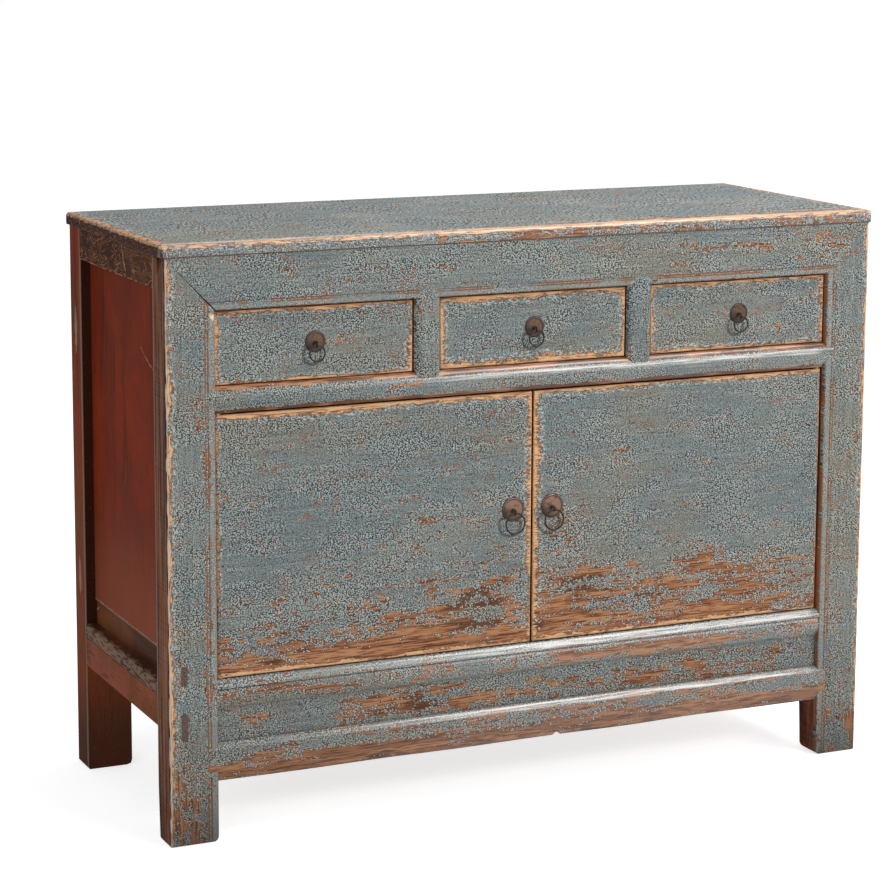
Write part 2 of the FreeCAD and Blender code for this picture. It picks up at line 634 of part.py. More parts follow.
def build():
    """Every node by name, each a list of separate solids."""
    nodes = {}

    frieze = frieze_blank()
    mid_rail = cut_all(mid_rail_blank(), *pin_sockets())
    panel = base_panel()
    bottom_rail = cut_all(bottom_rail_blank(), panel, *pin_sockets())
    apron = apron_blank().cut(panel)
    dividers = [divider_blank(-DIVIDER_X), divider_blank(DIVIDER_X)]
    frieze = cut_all(frieze, *dividers)
    mid_rail = cut_all(mid_rail, *dividers)

    top_side = side_rail((SIDE_TOP_Z, TOP_Z), (794, 822))
    low_side = side_rail(SIDE_BOTTOM_Z, (173, 200))
    side_board = side_panel()
    lower_board = side_lower_board()
    top_side = top_side.cut(side_board)
    side_pieces = [top_side, low_side, side_board, lower_board]

    back_rails = {
        "back_top_rail": back_rail((SIDE_TOP_Z, TOP_Z), (794, 822)),
        "back_mid_rail": back_rail(MID_RAIL_Z, (620, 642)),
        "back_bottom_rail": back_rail((SIDE_BOTTOM_Z[0], FLOOR_Z[0]), (176, 210)),
    }
    wide = BACK_POST_IN + GROOVE
    upper_back = back_panel((-wide, wide), (MID_RAIL_Z[1] - GROOVE, SIDE_TOP_Z + GROOVE))
    lower_back = []
    board_wide = 2 * wide / 4
    for i in range(4):
        x = -wide + i * board_wide
        lower_back.append(back_panel((x, x + board_wide - 0.5),
                                     (FLOOR_Z[0] - GROOVE, MID_RAIL_Z[0] + GROOVE)))
    for name, rail in back_rails.items():
        nodes[name] = [cut_all(rail, upper_back, *lower_back)]
    nodes["back_panel_upper"] = [upper_back]
    nodes["back_boards_lower"] = lower_back

    plugs = mortise_plugs()
    front_right = front_post_blank()
    front_left = cut_all(other_side(front_right), mitre_chip(), *plugs)
    rails_in_front = [mitre_block(), frieze, mid_rail, bottom_rail, apron, panel]
    nodes["front_post_right"] = [cut_all(front_right, *rails_in_front, *side_pieces)]
    nodes["front_post_left"] = [cut_all(front_left, *rails_in_front,
                                        *[other_side(piece) for piece in side_pieces])]
    back_right = cut_all(back_post_blank(), *side_pieces, upper_back, *lower_back,
                         *[back_rails[name] for name in back_rails])
    back_left = other_side(back_right).cut(lower_back[0])
    nodes["back_post_right"] = [back_right]
    nodes["back_post_left"] = [back_left]
    posts = [nodes[name][0] for name in
             ("front_post_left", "front_post_right", "back_post_left", "back_post_right")]

    nodes["frieze_rail"] = [frieze.cut(mitre_crack())]
    nodes["mid_rail"] = [mid_rail]
    nodes["bottom_rail"] = [bottom_rail]
    nodes["base_panel"] = [panel]
    nodes["apron_rail"] = [apron]
    nodes["drawer_divider_left"] = [dividers[0]]
    nodes["drawer_divider_right"] = [dividers[1]]
    nodes["mortise_plugs"] = plugs

    for side, turn_over in (("right", False), ("left", True)):
        for name, piece in (("side_top_rail", top_side), ("side_bottom_rail", low_side),
                            ("side_panel", side_board)):
            nodes[f"{name}_{side}"] = [other_side(piece) if turn_over else piece]
    nodes["side_lower_boards"] = [lower_board, other_side(lower_board)]
    nodes["side_ledges"] = [side_ledge(), other_side(side_ledge())]

    for name, board in zip(("left", "middle", "right"), top_boards()):
        nodes[f"top_board_{name}"] = [board]
    nodes["top_cleats"] = top_cleats()
    nodes["floor_boards"] = floor_boards(posts)
    nodes["drawer_runners"] = drawer_runners(posts)
    nodes["door_stop_strip"] = [block((-OPENING, OPENING), (FLOOR_FRONT, 40), (600, MID_RAIL_Z[0]))]

    pitch = 2 * DIVIDER_X
    for name, middle in (("left", -pitch), ("middle", 0.0), ("right", pitch)):
        pin = split_pin(DRAWER_PULL, middle, DRAWER_FRONT)
        floor = drawer_floor(middle)
        box = [piece.cut(floor) for piece in dovetail_sides(middle)]
        nodes[f"drawer_{name}_front"] = [cut_all(drawer_front(middle), floor, pin, *box)]
        nodes[f"drawer_{name}_box"] = box
        nodes[f"drawer_{name}_floor"] = [floor]
        nodes[f"drawer_{name}_backplate"] = [backplate(DRAWER_PULL, middle).cut(pin)]
        nodes[f"drawer_{name}_eye"] = [pin]
        nodes[f"drawer_{name}_ring"] = [ring(DRAWER_PULL, middle)]

    slab = door_slab()
    for name, sign in (("left", -1), ("right", 1)):
        x = sign * DOOR_PULL["from_middle"]
        pin = split_pin(DOOR_PULL, x, DOOR_THICK)
        here = slab if sign > 0 else other_side(slab)
        battens = door_battens()
        nodes[f"door_{name}_slab"] = [here.cut(pin)]
        nodes[f"door_{name}_battens"] = battens if sign > 0 else [other_side(b) for b in battens]
        nodes[f"door_{name}_backplate"] = [backplate(DOOR_PULL, x).cut(pin)]
        nodes[f"door_{name}_eye"] = [pin]
        nodes[f"door_{name}_ring"] = [ring(DOOR_PULL, x)]
    return nodes


for name, solids in build().items():
    shape = solids[0] if len(solids) == 1 else Part.makeCompound(solids)
    print(name, len(shape.Solids), "solids, valid", shape.isValid(), "volume", round(shape.Volume))
    shape.exportStep(f"parts/{name}.step")
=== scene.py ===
import json
import math

import bpy
from bpy.props import FloatProperty, FloatVectorProperty
from mathutils import Matrix, Vector

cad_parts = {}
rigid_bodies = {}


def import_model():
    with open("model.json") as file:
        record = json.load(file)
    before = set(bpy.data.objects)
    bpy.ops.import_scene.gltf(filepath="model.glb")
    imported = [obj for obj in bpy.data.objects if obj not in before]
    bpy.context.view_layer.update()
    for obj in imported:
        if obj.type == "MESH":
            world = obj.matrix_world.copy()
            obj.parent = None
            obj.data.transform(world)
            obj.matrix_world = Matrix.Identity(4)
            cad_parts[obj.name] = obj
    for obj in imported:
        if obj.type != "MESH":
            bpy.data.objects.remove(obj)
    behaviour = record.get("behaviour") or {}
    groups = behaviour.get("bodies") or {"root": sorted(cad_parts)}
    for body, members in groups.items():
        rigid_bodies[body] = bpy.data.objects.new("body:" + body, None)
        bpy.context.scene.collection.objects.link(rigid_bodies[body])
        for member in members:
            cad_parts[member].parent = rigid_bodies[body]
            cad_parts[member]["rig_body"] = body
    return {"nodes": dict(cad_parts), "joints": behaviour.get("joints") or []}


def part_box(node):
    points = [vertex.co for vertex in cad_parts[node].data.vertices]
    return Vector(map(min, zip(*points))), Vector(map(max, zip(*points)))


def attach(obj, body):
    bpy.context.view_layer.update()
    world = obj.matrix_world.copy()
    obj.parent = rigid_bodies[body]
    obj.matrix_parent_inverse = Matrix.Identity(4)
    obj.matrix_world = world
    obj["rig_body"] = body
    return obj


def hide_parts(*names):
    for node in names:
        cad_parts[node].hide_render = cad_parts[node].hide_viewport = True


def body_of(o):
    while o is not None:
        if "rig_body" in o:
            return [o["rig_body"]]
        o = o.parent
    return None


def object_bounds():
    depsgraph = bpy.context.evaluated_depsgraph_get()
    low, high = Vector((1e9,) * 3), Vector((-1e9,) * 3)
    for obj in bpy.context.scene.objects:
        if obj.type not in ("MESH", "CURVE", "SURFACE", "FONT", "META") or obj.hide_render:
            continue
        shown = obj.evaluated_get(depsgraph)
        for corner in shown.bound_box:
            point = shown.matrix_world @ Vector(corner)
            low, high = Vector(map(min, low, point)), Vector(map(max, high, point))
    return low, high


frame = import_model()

bl_info = {
    "name": "Painted sideboard",
    "version": (1, 0, 0),
    "blender": (4, 5, 0),
    "location": "3D view > Sidebar > Sideboard",
    "description": "Finishes, ring pulls and studio for a painted, worn sideboard",
    "category": "Object",
}

CAD_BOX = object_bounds()
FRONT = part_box("front_post_left")[0].y
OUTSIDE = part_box("front_post_right")[1].x
TOP_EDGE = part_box("top_board_middle")[0].y
DOOR_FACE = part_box("drawer_middle_front")[0].y
RECESS = DOOR_FACE - FRONT
ANYWHERE = 9.0


def colour(name, description, value):
    return FloatVectorProperty(
        name=name, description=description, subtype="COLOR", size=3, min=0.0, max=1.0, default=value)


def length(name, description, value):
    return FloatProperty(
        name=name, description=description, subtype="DISTANCE", unit="LENGTH", min=0.0, default=value)


class SideboardColours(bpy.types.PropertyGroup):
    """Colours of the paint, the woods and the metal"""

    paint: colour("Paint", "Middle tone of the blue-grey paint", (0.172, 0.190, 0.176))
    paint_slate: colour("Slate paint", "Bluer paint in the thick stretches", (0.132, 0.162, 0.168))
    paint_stained: colour("Stained paint", "Paint browned by hands and smoke", (0.172, 0.162, 0.128))
    # Pale paint is also laid as a painted highlight on the mouldings' beads
    paint_pale: colour("Pale paint", "Rubbed, chalky paint", (0.285, 0.310, 0.292))
    paint_deep: colour("Deep paint", "Paint in the grain's hollows", (0.072, 0.084, 0.080))
    # Chalk is also laid as a painted highlight along the front posts' outer corners
    chalk: colour("Chalk", "Pale flecks along the crackle", (0.500, 0.540, 0.515))
    # Painted highlight: the pale tone laid along the rounded rails' crests
    painted_highlight: colour("Sheen", "Polished crests of the rounded rails", (0.640, 0.625, 0.610))
    # Crack is also laid as painted shade: the rings' shadows and round the plates, the plates' lower
    # left, round each eye and on the rings' flanks
    crack: colour("Crack", "Dirt in the crackle", (0.030, 0.026, 0.022))
    wood_tan: colour("Tan wood", "Bare wood on worn edges", (0.600, 0.360, 0.195))
    wood_warm: colour("Warm wood", "Light streaks in the bare wood", (0.370, 0.180, 0.090))
    wood_orange: colour("Orange wood", "Bare wood under flaked paint", (0.245, 0.105, 0.050))
    wood_brown: colour("Brown wood", "Dark grain and dirt at the paint's border", (0.080, 0.033, 0.019))
    cream: colour("Cream wood", "Fresh wood in a recent chip", (0.720, 0.600, 0.430))
    red: colour("Red lacquer", "Red-brown lacquer of the side panels", (0.192, 0.027, 0.009))
    red_pale: colour("Worn lacquer", "Red-brown lacquer where it is rubbed", (0.240, 0.062, 0.030))
    # Deep lacquer is also laid as painted shade on the back posts inside the panel recess
    red_deep: colour("Deep lacquer", "Near-black red in the corners", (0.040, 0.012, 0.007))
    umber: colour("Umber", "Brown of the posts' side faces", (0.185, 0.064, 0.024))
    worn_grey: colour("Worn grey", "Lacquer rubbed down to weathered wood", (0.300, 0.215, 0.150))
    pine: colour("Pine", "Unfinished wood inside and behind", (0.420, 0.260, 0.140))
    pine_dark: colour("Aged pine", "Unfinished wood darkened by age", (0.190, 0.100, 0.050))
    copper: colour("Copper", "Backplates of the ring pulls", (0.230, 0.135, 0.100))
    bronze: colour("Bronze", "Wire of the rings and eyes", (0.210, 0.155, 0.090))


class SideboardSizes(bpy.types.PropertyGroup):
    """Sizes of the wear and of the ring pulls"""

    crackle: length("Crackle", "Size of one flake of the crackled paint", 0.0027)
    edge_wear: length("Edge wear", "Width of the bare band on drawer and door edges", 0.006)
    plate_rim: length("Plate rim", "Width of the raised rim of a backplate", 0.0011)


def colours():
    return bpy.context.scene.sideboard_colours


def sizes():
    return bpy.context.scene.sideboard_sizes


def shaded(tone, share):
    """A colour made lighter or darker."""
    return tuple(part * share for part in tone)


class Value:
    """A number in a node tree, whose arithmetic adds math nodes."""

    def __init__(self, tree, socket):
        self.tree = tree
        self.socket = socket

    def __add__(self, other):
        return self.tree.calc("ADD", self, other)

    def __sub__(self, other):
        return self.tree.calc("SUBTRACT", self, other)

    def __rsub__(self, other):
        return self.tree.calc("SUBTRACT", other, self)

    def __mul__(self, other):
        return self.tree.calc("MULTIPLY", self, other)

    def __truediv__(self, other):
        return self.tree.calc("DIVIDE", self, other)

    def __abs__(self):
        return self.tree.calc("ABSOLUTE", self)

    def soft(self, low, high, start=0.0, end=1.0):
        """Smooth step from start at low to end at high."""
        if low > high:
            low, high, start, end = high, low, end, start
        inputs = {"Value": self, "From Min": low, "From Max": high, "To Min": start, "To Max": end}
        return self.tree.value("ShaderNodeMapRange", inputs, interpolation_type="SMOOTHSTEP")


class Tree:
    """A node tree that is built by calls."""

    def __init__(self, tree):
        self.nodes = tree.nodes
        self.links = tree.links

    def fill(self, node, inputs):
        """Sets or links a node's inputs, by name or by number."""
        for name, value in inputs.items():
            socket = node.inputs[name]
            value = getattr(value, "socket", value)
            if isinstance(value, bpy.types.NodeSocket):
                self.links.new(value, socket)
            elif socket.type == "RGBA":
                socket.default_value = (*value[:3], 1.0)
            else:
                socket.default_value = value

    def add(self, kind, inputs=(), **settings):
        node = self.nodes.new(kind)
        for name, value in settings.items():
            setattr(node, name, value)
        self.fill(node, dict(inputs))
        return node

    def value(self, kind, inputs, output=0, **settings):
        return Value(self, self.add(kind, inputs, **settings).outputs[output])

    def calc(self, operation, *values):
        return self.value("ShaderNodeMath", dict(enumerate(values)), operation=operation)


class Finish(Tree):
    """One procedural material on the object's own coordinates."""

    def __init__(self, name, seed=0.0):
        self.hue = colours()
        self.seed = seed
        self.material = bpy.data.materials.new(name)
        self.material.use_nodes = True
        super().__init__(self.material.node_tree)
        self.shader = self.nodes["Principled BSDF"]
        self.place = self.add("ShaderNodeTexCoord").outputs["Object"]
        self.x, self.y, self.z = self.parts(self.place)

    def parts(self, vector):
        sockets = self.add("ShaderNodeSeparateXYZ", {"Vector": vector}).outputs
        return [Value(self, socket) for socket in sockets]

    def layered(self, tone, *layers):
        """A tone under layers, each a mask and the tone it lays."""
        for mask, over in layers:
            node = self.add("ShaderNodeMix", data_type="RGBA")
            self.fill(node, {0: mask, 6: tone, 7: over})
            tone = node.outputs[2]
        return tone

    def lay(self, *layer):
        """Lays a tone over the base where the mask is 1."""
        self.base = self.layered(self.base, layer)

    def noise(self, size, step=0.0, detail=3.0, roughness=0.55, distortion=0.0):
        """Noise whose grain is size metres along each axis; each step gives another one."""
        seed = self.seed + step
        spread = self.add("ShaderNodeMapping", {
            "Vector": self.place, "Location": (seed, seed * 1.7, seed * 0.6),
            "Scale": tuple(1.0 / share for share in size)}).outputs[0]
        return self.value("ShaderNodeTexNoise", {
            "Vector": spread, "Scale": 1.0, "Detail": detail, "Roughness": roughness,
            "Distortion": distortion}, "Fac")

    def vector(self, operation, *values):
        inputs = dict(enumerate(values))
        return self.add("ShaderNodeVectorMath", inputs, operation=operation).outputs[0]

    def length(self, vector):
        return self.value("ShaderNodeVectorMath", {0: vector}, "Value", operation="LENGTH")

    def spot(self, centre, reach):
        """1 near the centre, fading to 0 at the reach along each axis."""
        part = self.vector("DIVIDE", self.vector("SUBTRACT", self.place, centre), reach)
        return self.length(part).soft(1.0, 0.25)

    def aside(self, centre):
        """Distance from a front-to-back axis through the centre."""
        away = self.vector("SUBTRACT", self.place, centre)
        return self.length(self.vector("MULTIPLY", away, (1.0, 0.0, 1.0)))

    def raised(self, value, spots):
        """The value, raised in each spot by its strength."""
        for centre, reach, strength in spots:
            value = self.calc("MULTIPLY_ADD", self.spot(centre, reach), strength, value)
        return value

    def finish(self, roughness, height, depth):
        bump = self.add("ShaderNodeBump", {"Height": height, "Distance": depth, "Strength": 0.8})
        self.fill(self.shader, {
            "Normal": bump.outputs[0], "Base Color": self.base, "Roughness": roughness})
        return self.material


class Grained(Finish):
    """A finish whose marks run along one axis, its grain."""

    def __init__(self, name, grain, seed):
        super().__init__(name, seed)
        self.grain = grain

    def streaks(self, long, across, step=0.0, deep=1.0, **settings):
        """Noise that is long along the grain, and deep times longer from front to back."""
        wide, back, high = (long if axis == self.grain else across for axis in "XYZ")
        return self.noise((wide, back * deep, high), step, **settings)


class Wood(Grained):
    """Bare wood with growth bands and fine dark fibres."""

    def __init__(self, name, grain, seed):
        super().__init__(name, grain, seed)
        bands = self.streaks(0.24, 0.01, detail=4.0, distortion=0.7)
        self.fibres = self.streaks(0.032, 0.0018, 3.1, detail=2.0)
        self.tone = bands * 0.65 + self.fibres * 0.35

    def tones(self, dark, middle, light):
        return self.layered(dark, (self.tone.soft(0.34, 0.42), middle),
                            (self.tone.soft(0.46, 0.56), light),
                            (self.fibres.soft(0.49, 0.4, 0.0, 0.8), dark))


# Scores of wear at which the paint starts to peel and is gone, and at which the brown rim ends
PEELING, PEELED, RIM_END = 0.68, 0.688, 0.725
# Height of a flake of the crackle for its width
FLAKE_HEIGHT = 0.83


class Paint(Wood):
    """Blue-grey crackled paint over orange-brown wood."""

    def __init__(self, name, grain, seed, wear=0.0, bare=(), stained=(), slate=(), scorched=(),
                 polish=0.0, deep=1.0):
        """Bare, stained, slate and scorched are lists of spots: centre, reach and strength.

        Deep is how many times longer the marks run from front to back.
        """
        super().__init__(name, grain, seed)
        self.deep = deep
        hue = self.hue
        flakes = self.flakes()
        self.grit = Value(self, flakes["Distance"])
        picks = self.add("ShaderNodeSeparateColor", {"Color": flakes["Color"]}).outputs
        self.shade = Value(self, picks[0])
        self.scatter = Value(self, picks[1]).soft(0.0, 1.0, -1.0, 1.0)

        patch = self.streaks(0.075, 0.016, 7.7, detail=5.0, roughness=0.7)
        chip = self.streaks(0.012, 0.006, 8.8, roughness=0.65)
        score = self.raised(patch + chip * 0.7 + self.scatter * 0.05 + (wear - 0.35), bare)
        peeled = score.soft(PEELING, PEELED)
        paint = self.paint_tones(stained, slate, score.soft(0.54, 0.66, 0.0, 0.5))
        scorch = self.raised(self.streaks(0.07, 0.02, 13.0, detail=4.0), scorched)
        self.wood = self.layered(
            self.tones(hue.wood_brown, hue.wood_orange, hue.wood_warm),
            (score.soft(RIM_END, PEELED, 0.0, 0.75), hue.wood_brown),
            (scorch.soft(0.61, 0.73, 0.0, 0.85), hue.wood_brown))
        self.base = self.layered(paint, (peeled, self.wood))
        self.shown = 1.0 - peeled
        self.fill(self.shader, {"Specular IOR Level": 0.06, "Coat Roughness": 0.28})
        if polish:
            self.fill(self.shader, {"Coat Weight": self.x.soft(-0.45, 0.0, polish * 0.2, polish)})

    def flakes(self):
        """Cells of the crackle, flat over the front and, on a deep piece, over the top."""
        down = self.z if self.deep == 1.0 else self.y + self.z * self.deep
        flat = self.add("ShaderNodeCombineXYZ", {"X": self.x, "Y": down}).outputs[0]
        size = sizes().crackle
        sheet = self.add("ShaderNodeMapping", {
            "Vector": flat, "Location": (self.seed, self.seed, 0.0),
            "Scale": (1 / size, 1 / (size * FLAKE_HEIGHT * self.deep), 1.0)}).outputs[0]
        inputs = {"Vector": sheet, "Scale": 1.0, "Randomness": 0.9}
        return self.add("ShaderNodeTexVoronoi", inputs, voronoi_dimensions="2D").outputs

    def paint_tones(self, stained, slate, rubbed):
        """The paint alone: clouds, brush marks and a crackle of pale and dark flakes."""
        hue, deep = self.hue, self.deep
        self.cloud = self.raised(self.noise((0.15, 0.15, 0.11)), slate)
        stain = self.raised(self.noise((0.21, 0.21, 0.09), 11.0, detail=4.0), stained)
        brush = self.streaks(0.11, 0.0036, 1.3, deep, roughness=0.65)
        lines = self.streaks(0.035, 0.0013, 5.5, deep, detail=2.0)
        dry = self.noise((0.07, 0.07, 0.035), 2.2, detail=4.0).soft(0.4, 0.62, 0.25, 0.78)
        dry = self.calc("MAXIMUM", dry, rubbed * 2.2)
        middles = self.grit + self.scatter * 0.06
        self.cracks = middles.soft(0.42, 0.56) * dry
        rare = self.noise((0.05, 0.05, 0.025), 6.0).soft(0.38, 0.66, -0.17, 0.05)
        fleck = self.streaks(0.005, 0.0026, 12.0, deep, detail=1.0) + rare + self.scatter * 0.03
        dents = self.streaks(0.004, 0.0024, 17.0, deep, detail=1.0)
        return self.layered(
            hue.paint,
            (self.cloud.soft(0.4, 0.6), hue.paint_slate),
            (stain.soft(0.5, 0.66, 0.0, 0.8), hue.paint_stained),
            (brush.soft(0.52, 0.7, 0.0, 0.5), hue.paint_pale),
            (brush.soft(0.46, 0.3, 0.0, 0.5), hue.paint_deep),
            (rubbed, hue.paint_pale),
            (lines.soft(0.42, 0.3, 0.0, 0.75), hue.paint_deep),
            (middles.soft(0.34, 0.14) * dry, hue.chalk),
            (self.cracks, hue.crack),
            (fleck.soft(0.655, 0.675, 0.0, 0.95), hue.wood_orange),
            (dents.soft(0.32, 0.3, 0.0, 0.85), hue.crack))

    def cover(self, mask, tone):
        """Lays a tone without paint where the mask is 1."""
        self.lay(mask, tone)
        self.shown = self.shown * (1.0 - mask)

    def worn_edges(self, low, high, left=0.0, right=0.0, bottom=0.0, top=0.0):
        """Bare wood along the edges of a face, as wide as given for each edge."""
        wobble = self.streaks(0.011, 0.0034, 9.1, detail=4.0, roughness=0.75)
        slow = self.noise((0.05,) * 3, 6.4, detail=2.0)
        jitter = (wobble.soft(0.3, 0.7, -0.75, 0.75) + slow.soft(0.3, 0.7, -0.55, 0.4)
                  + self.scatter * 0.14)
        reach = None
        for width, place, edge, sign in ((left, self.x, low.x, 1), (right, self.x, high.x, -1),
                                         (bottom, self.z, low.z, 1), (top, self.z, high.z, -1)):
            if width:
                away = (place - edge) * (sign / width)
                reach = away if reach is None else self.calc("MINIMUM", reach, away)
        self.worn_band(reach + jitter)

    def worn_band(self, reach):
        """Bare wood where the reach is under 1, with a dark broken border and chips past it."""
        hue = self.hue
        worn = reach.soft(1.0, 0.94)
        self.lay(reach.soft(2.1, 1.4) * self.shade.soft(0.35, 0.8, 0.0, 0.8) * self.shown, hue.chalk)
        self.lay(reach.soft(1.34, 1.1, 0.0, 0.85) * (1.0 - worn), hue.wood_brown)
        tan = self.tones(hue.wood_orange, hue.wood_tan, hue.wood_tan)
        self.cover(worn, self.layered(tan, (reach.soft(0.5, 1.0), self.wood)))

    def rubbed_lines(self, place, edge, sign, distances):
        """Broken lines of bare wood on a moulding's arrises, and a painted highlight of pale paint on
        the bead between them.
        """
        away = (place - edge) * sign
        bead = away.soft(0.0015, 0.003) * away.soft(0.0105, 0.0095)
        # Painted highlight on the bead
        self.lay(bead * self.shown * 0.35, self.hue.paint_pale)
        broken = self.streaks(0.045, 0.045, 16.0, detail=4.0, roughness=0.7).soft(0.44, 0.52)
        for distance in distances:
            self.cover(abs(away - distance).soft(0.0013, 0.0006) * broken, self.hue.wood_orange)

    def darkened_low(self):
        """Darker towards the floor."""
        dirt = self.z.soft(0.236, 0.12, 0.0, 0.17) + self.z.soft(0.1, 0.0, 0.0, 0.4)
        self.lay(dirt, self.hue.crack)

    def painted_highlight(self, low, high):
        """Painted highlight: pale streaks along a rounded rail's crest, between two heights, faint at
        the left end and full towards the right.
        """
        streaks = self.streaks(0.085, 0.0022, 15.0, detail=4.0, roughness=0.7)
        rise = (high - low) * 0.35
        crest = self.z.soft(low, low + rise) * self.z.soft(high, high - rise)
        lit = crest * abs(self.x).soft(0.488, 0.47) * streaks.soft(0.42, 0.62, 0.1, 0.9)
        self.lay(lit * self.x.soft(-0.32, 0.05, 0.1, 1.0), self.hue.painted_highlight)

    def plate_dirt_and_ring_shadow(self, plate, radius, hoop, reach):
        """Dirt and a painted contact shadow round a pull's plate, and a painted shadow of its hanging
        ring beside it.
        """
        # Dirt and painted contact shadow in a dark ring round the plate
        self.lay(self.aside(plate).soft(radius + 0.0022, radius + 0.0004, 0.0, 0.9), self.hue.crack)
        # Painted shadow of the hanging ring: a dark annulus offset to the left and down
        off = abs(self.aside(hoop) - reach)
        self.lay(off.soft(0.0034, 0.001, 0.0, 0.55), self.hue.crack)

    def behind(self, depth, dark, light):
        """Unpainted wood further back than the depth behind the posts' front."""
        start = self.y + self.scatter * 0.0006
        tone = self.layered(dark, (self.tone.soft(0.42, 0.58), light))
        self.cover(start.soft(FRONT + depth, FRONT + depth + 0.001), tone)

    def dark_jamb(self, depth):
        """Red-brown unpainted wood behind a depth, as on the jambs of doors and drawers."""
        self.behind(depth, self.hue.wood_brown, self.hue.red_pale)

    def brown_side(self):
        """Brown side face of a post with orange streaks, past its painted corner."""
        hue = self.hue
        bands = self.streaks(0.22, 0.006, 8.0, detail=4.0, distortion=0.5)
        brown = self.layered(hue.red_deep, (bands.soft(0.4, 0.56), hue.umber),
                             (bands.soft(0.56, 0.66), hue.wood_orange))
        ragged = self.noise((0.002, 0.002, 0.03), 9.0)
        out = abs(self.x) + ragged.soft(0.3, 0.7, -0.0008, 0.0008)
        # A pale line along the post's outer corner: worn edge and painted highlight
        self.cover(out.soft(OUTSIDE - 0.0026, OUTSIDE - 0.0018) * 0.7, hue.chalk)
        side = out.soft(OUTSIDE - 0.0012, OUTSIDE - 0.0006)
        self.cover(side, brown)
        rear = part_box("front_post_left")[1].y
        self.cover(side * self.y.soft(rear - 0.004, rear - 0.0026) * 0.6, hue.worn_grey)

    def done(self):
        height = (self.shown * 0.5 + self.tone * 0.35
                  + self.shade * self.shown * 0.35 + self.cracks * self.shown * -0.5)
        return self.finish(self.cloud.soft(0.3, 0.7, 0.38, 0.5) + self.cracks * 0.25, height, 0.0005)


class Lacquer(Grained):
    """Red-brown lacquer with soft grain."""

    def __init__(self, name, grain, seed, low, high):
        super().__init__(name, grain, seed)
        self.cloud = self.noise((0.1, 0.1, 0.14), detail=4.0)
        fine = self.streaks(0.03, 0.0022, 1.0)
        bands = self.streaks(0.3, 0.03, 2.0, detail=4.0, distortion=0.8)
        self.base = self.layered(
            low, (self.cloud.soft(0.35, 0.65), high),
            (bands.soft(0.5, 0.34, 0.0, 0.5), self.hue.red_deep),
            (fine.soft(0.48, 0.34, 0.0, 0.35), self.hue.red_deep))
        self.height = fine * 0.5
        self.fill(self.shader, {"Specular IOR Level": 0.012})

    def worn(self, value, tone, share=0.85):
        """A tone where the value, broken up by fine noise, is over 1."""
        ragged = self.streaks(0.02, 0.0045, 4.0, detail=4.0, roughness=0.7)
        mask = (value + ragged.soft(0.3, 0.7, -0.5, 0.5)).soft(0.94, 1.06)
        self.lay(mask * share, tone)
        self.height = self.height + mask * -0.5

    def swirls(self, tone):
        """Bright growth rings of a knotty board."""
        rings = self.calc("SINE", self.streaks(0.11, 0.04, 6.0, detail=2.0, distortion=1.6) * 95.0)
        patches = self.noise((0.04, 0.04, 0.025), 7.0)
        self.lay(rings.soft(0.3, 0.9) * patches.soft(0.36, 0.48), tone)

    def scratch(self, middle, degrees, half, thick, tone):
        """A fine line on a side face, tilted from the horizontal."""
        turned = self.add("ShaderNodeMapping", {
            "Vector": self.place, "Location": middle, "Rotation": (math.radians(degrees), 0.0, 0.0)},
            vector_type="TEXTURE")
        on, down = self.parts(turned.outputs[0])[1:]
        bend = self.noise((0.03,) * 3, 8.0).soft(0.3, 0.7, -0.004, 0.004)
        line = abs(down + bend).soft(thick, thick * 0.4)
        self.lay(line * abs(on).soft(half, half * 0.8), tone)

    def done(self):
        self.lay(self.noise((0.0016,) * 3, 5.0, detail=1.0).soft(0.74, 0.8, 0.0, 0.5), self.hue.chalk)
        return self.finish(self.cloud.soft(0.3, 0.7, 0.34, 0.48), self.height, 0.0003)


def raw_wood(name, grain, seed, boards=None):
    """Unfinished, aged wood; boards are the start and the width of the first in a row of boards."""
    f = Wood(name, grain, seed)
    dark, light = f.hue.pine_dark, f.hue.pine
    f.base = f.tones(dark, light, light)
    f.lay(f.noise((0.18,) * 3, 1.0).soft(0.6, 0.38, 0.0, 0.6), dark)
    if boards:
        start, wide = boards
        place = (f.x - start) / wide
        inputs = {"W": f.calc("FLOOR", place)}
        f.lay(f.value("ShaderNodeTexWhiteNoise", inputs, "Value", noise_dimensions="1D") * 0.5, dark)
        seam = abs(f.calc("FRACT", place) - 0.5)
        f.lay(seam.soft(0.5 - 0.0024 / wide, 0.5 - 0.001 / wide), f.hue.crack)
    f.fill(f.shader, {"Specular IOR Level": 0.2})
    return f.finish(f.tone.soft(0.3, 0.7, 0.62, 0.78), f.tone, 0.0005)


class Metal(Finish):
    """Old metal with dark patina in patches and bright rubbed places."""

    def __init__(self, name, tint, dull, seed):
        super().__init__(name, seed)
        self.patina = self.noise((0.007,) * 3, detail=4.0, roughness=0.65)
        self.fine = self.noise((0.0009,) * 3, 1.0, detail=2.0)
        self.dull = dull
        self.base = self.layered(tint, (self.patina.soft(0.5, 0.7, 0.0, 0.8), self.hue.crack),
                                 (self.fine.soft(0.6, 0.7, 0.0, 0.35), self.hue.wood_tan))
        self.fill(self.shader, {"Metallic": 0.8})

    def darkened(self, mask):
        self.lay(mask, self.hue.crack)

    def done(self):
        roughness = self.patina.soft(0.3, 0.7, self.dull - 0.08, self.dull + 0.15)
        return self.finish(roughness, self.patina + self.fine * 0.3, 0.0002)


def mode(name):
    bpy.ops.object.mode_set(mode=name)


def primitive(add, **settings):
    """Adds one primitive, with nothing else selected, and gives its object."""
    bpy.ops.object.select_all(action="DESELECT")
    add(**settings)
    return bpy.context.active_object


def paint_slots(shape, material):
    """Gives every material slot of an object one material."""
    if not shape.data.materials:
        shape.data.materials.append(material)
    for slot in shape.material_slots:
        slot.material = material


def dress(node, material):
    """Gives a CAD node its finish."""
    paint_slots(frame["nodes"][node], material)


SMOOTH_ANGLE = math.radians(40.0)
WELD = 0.000002


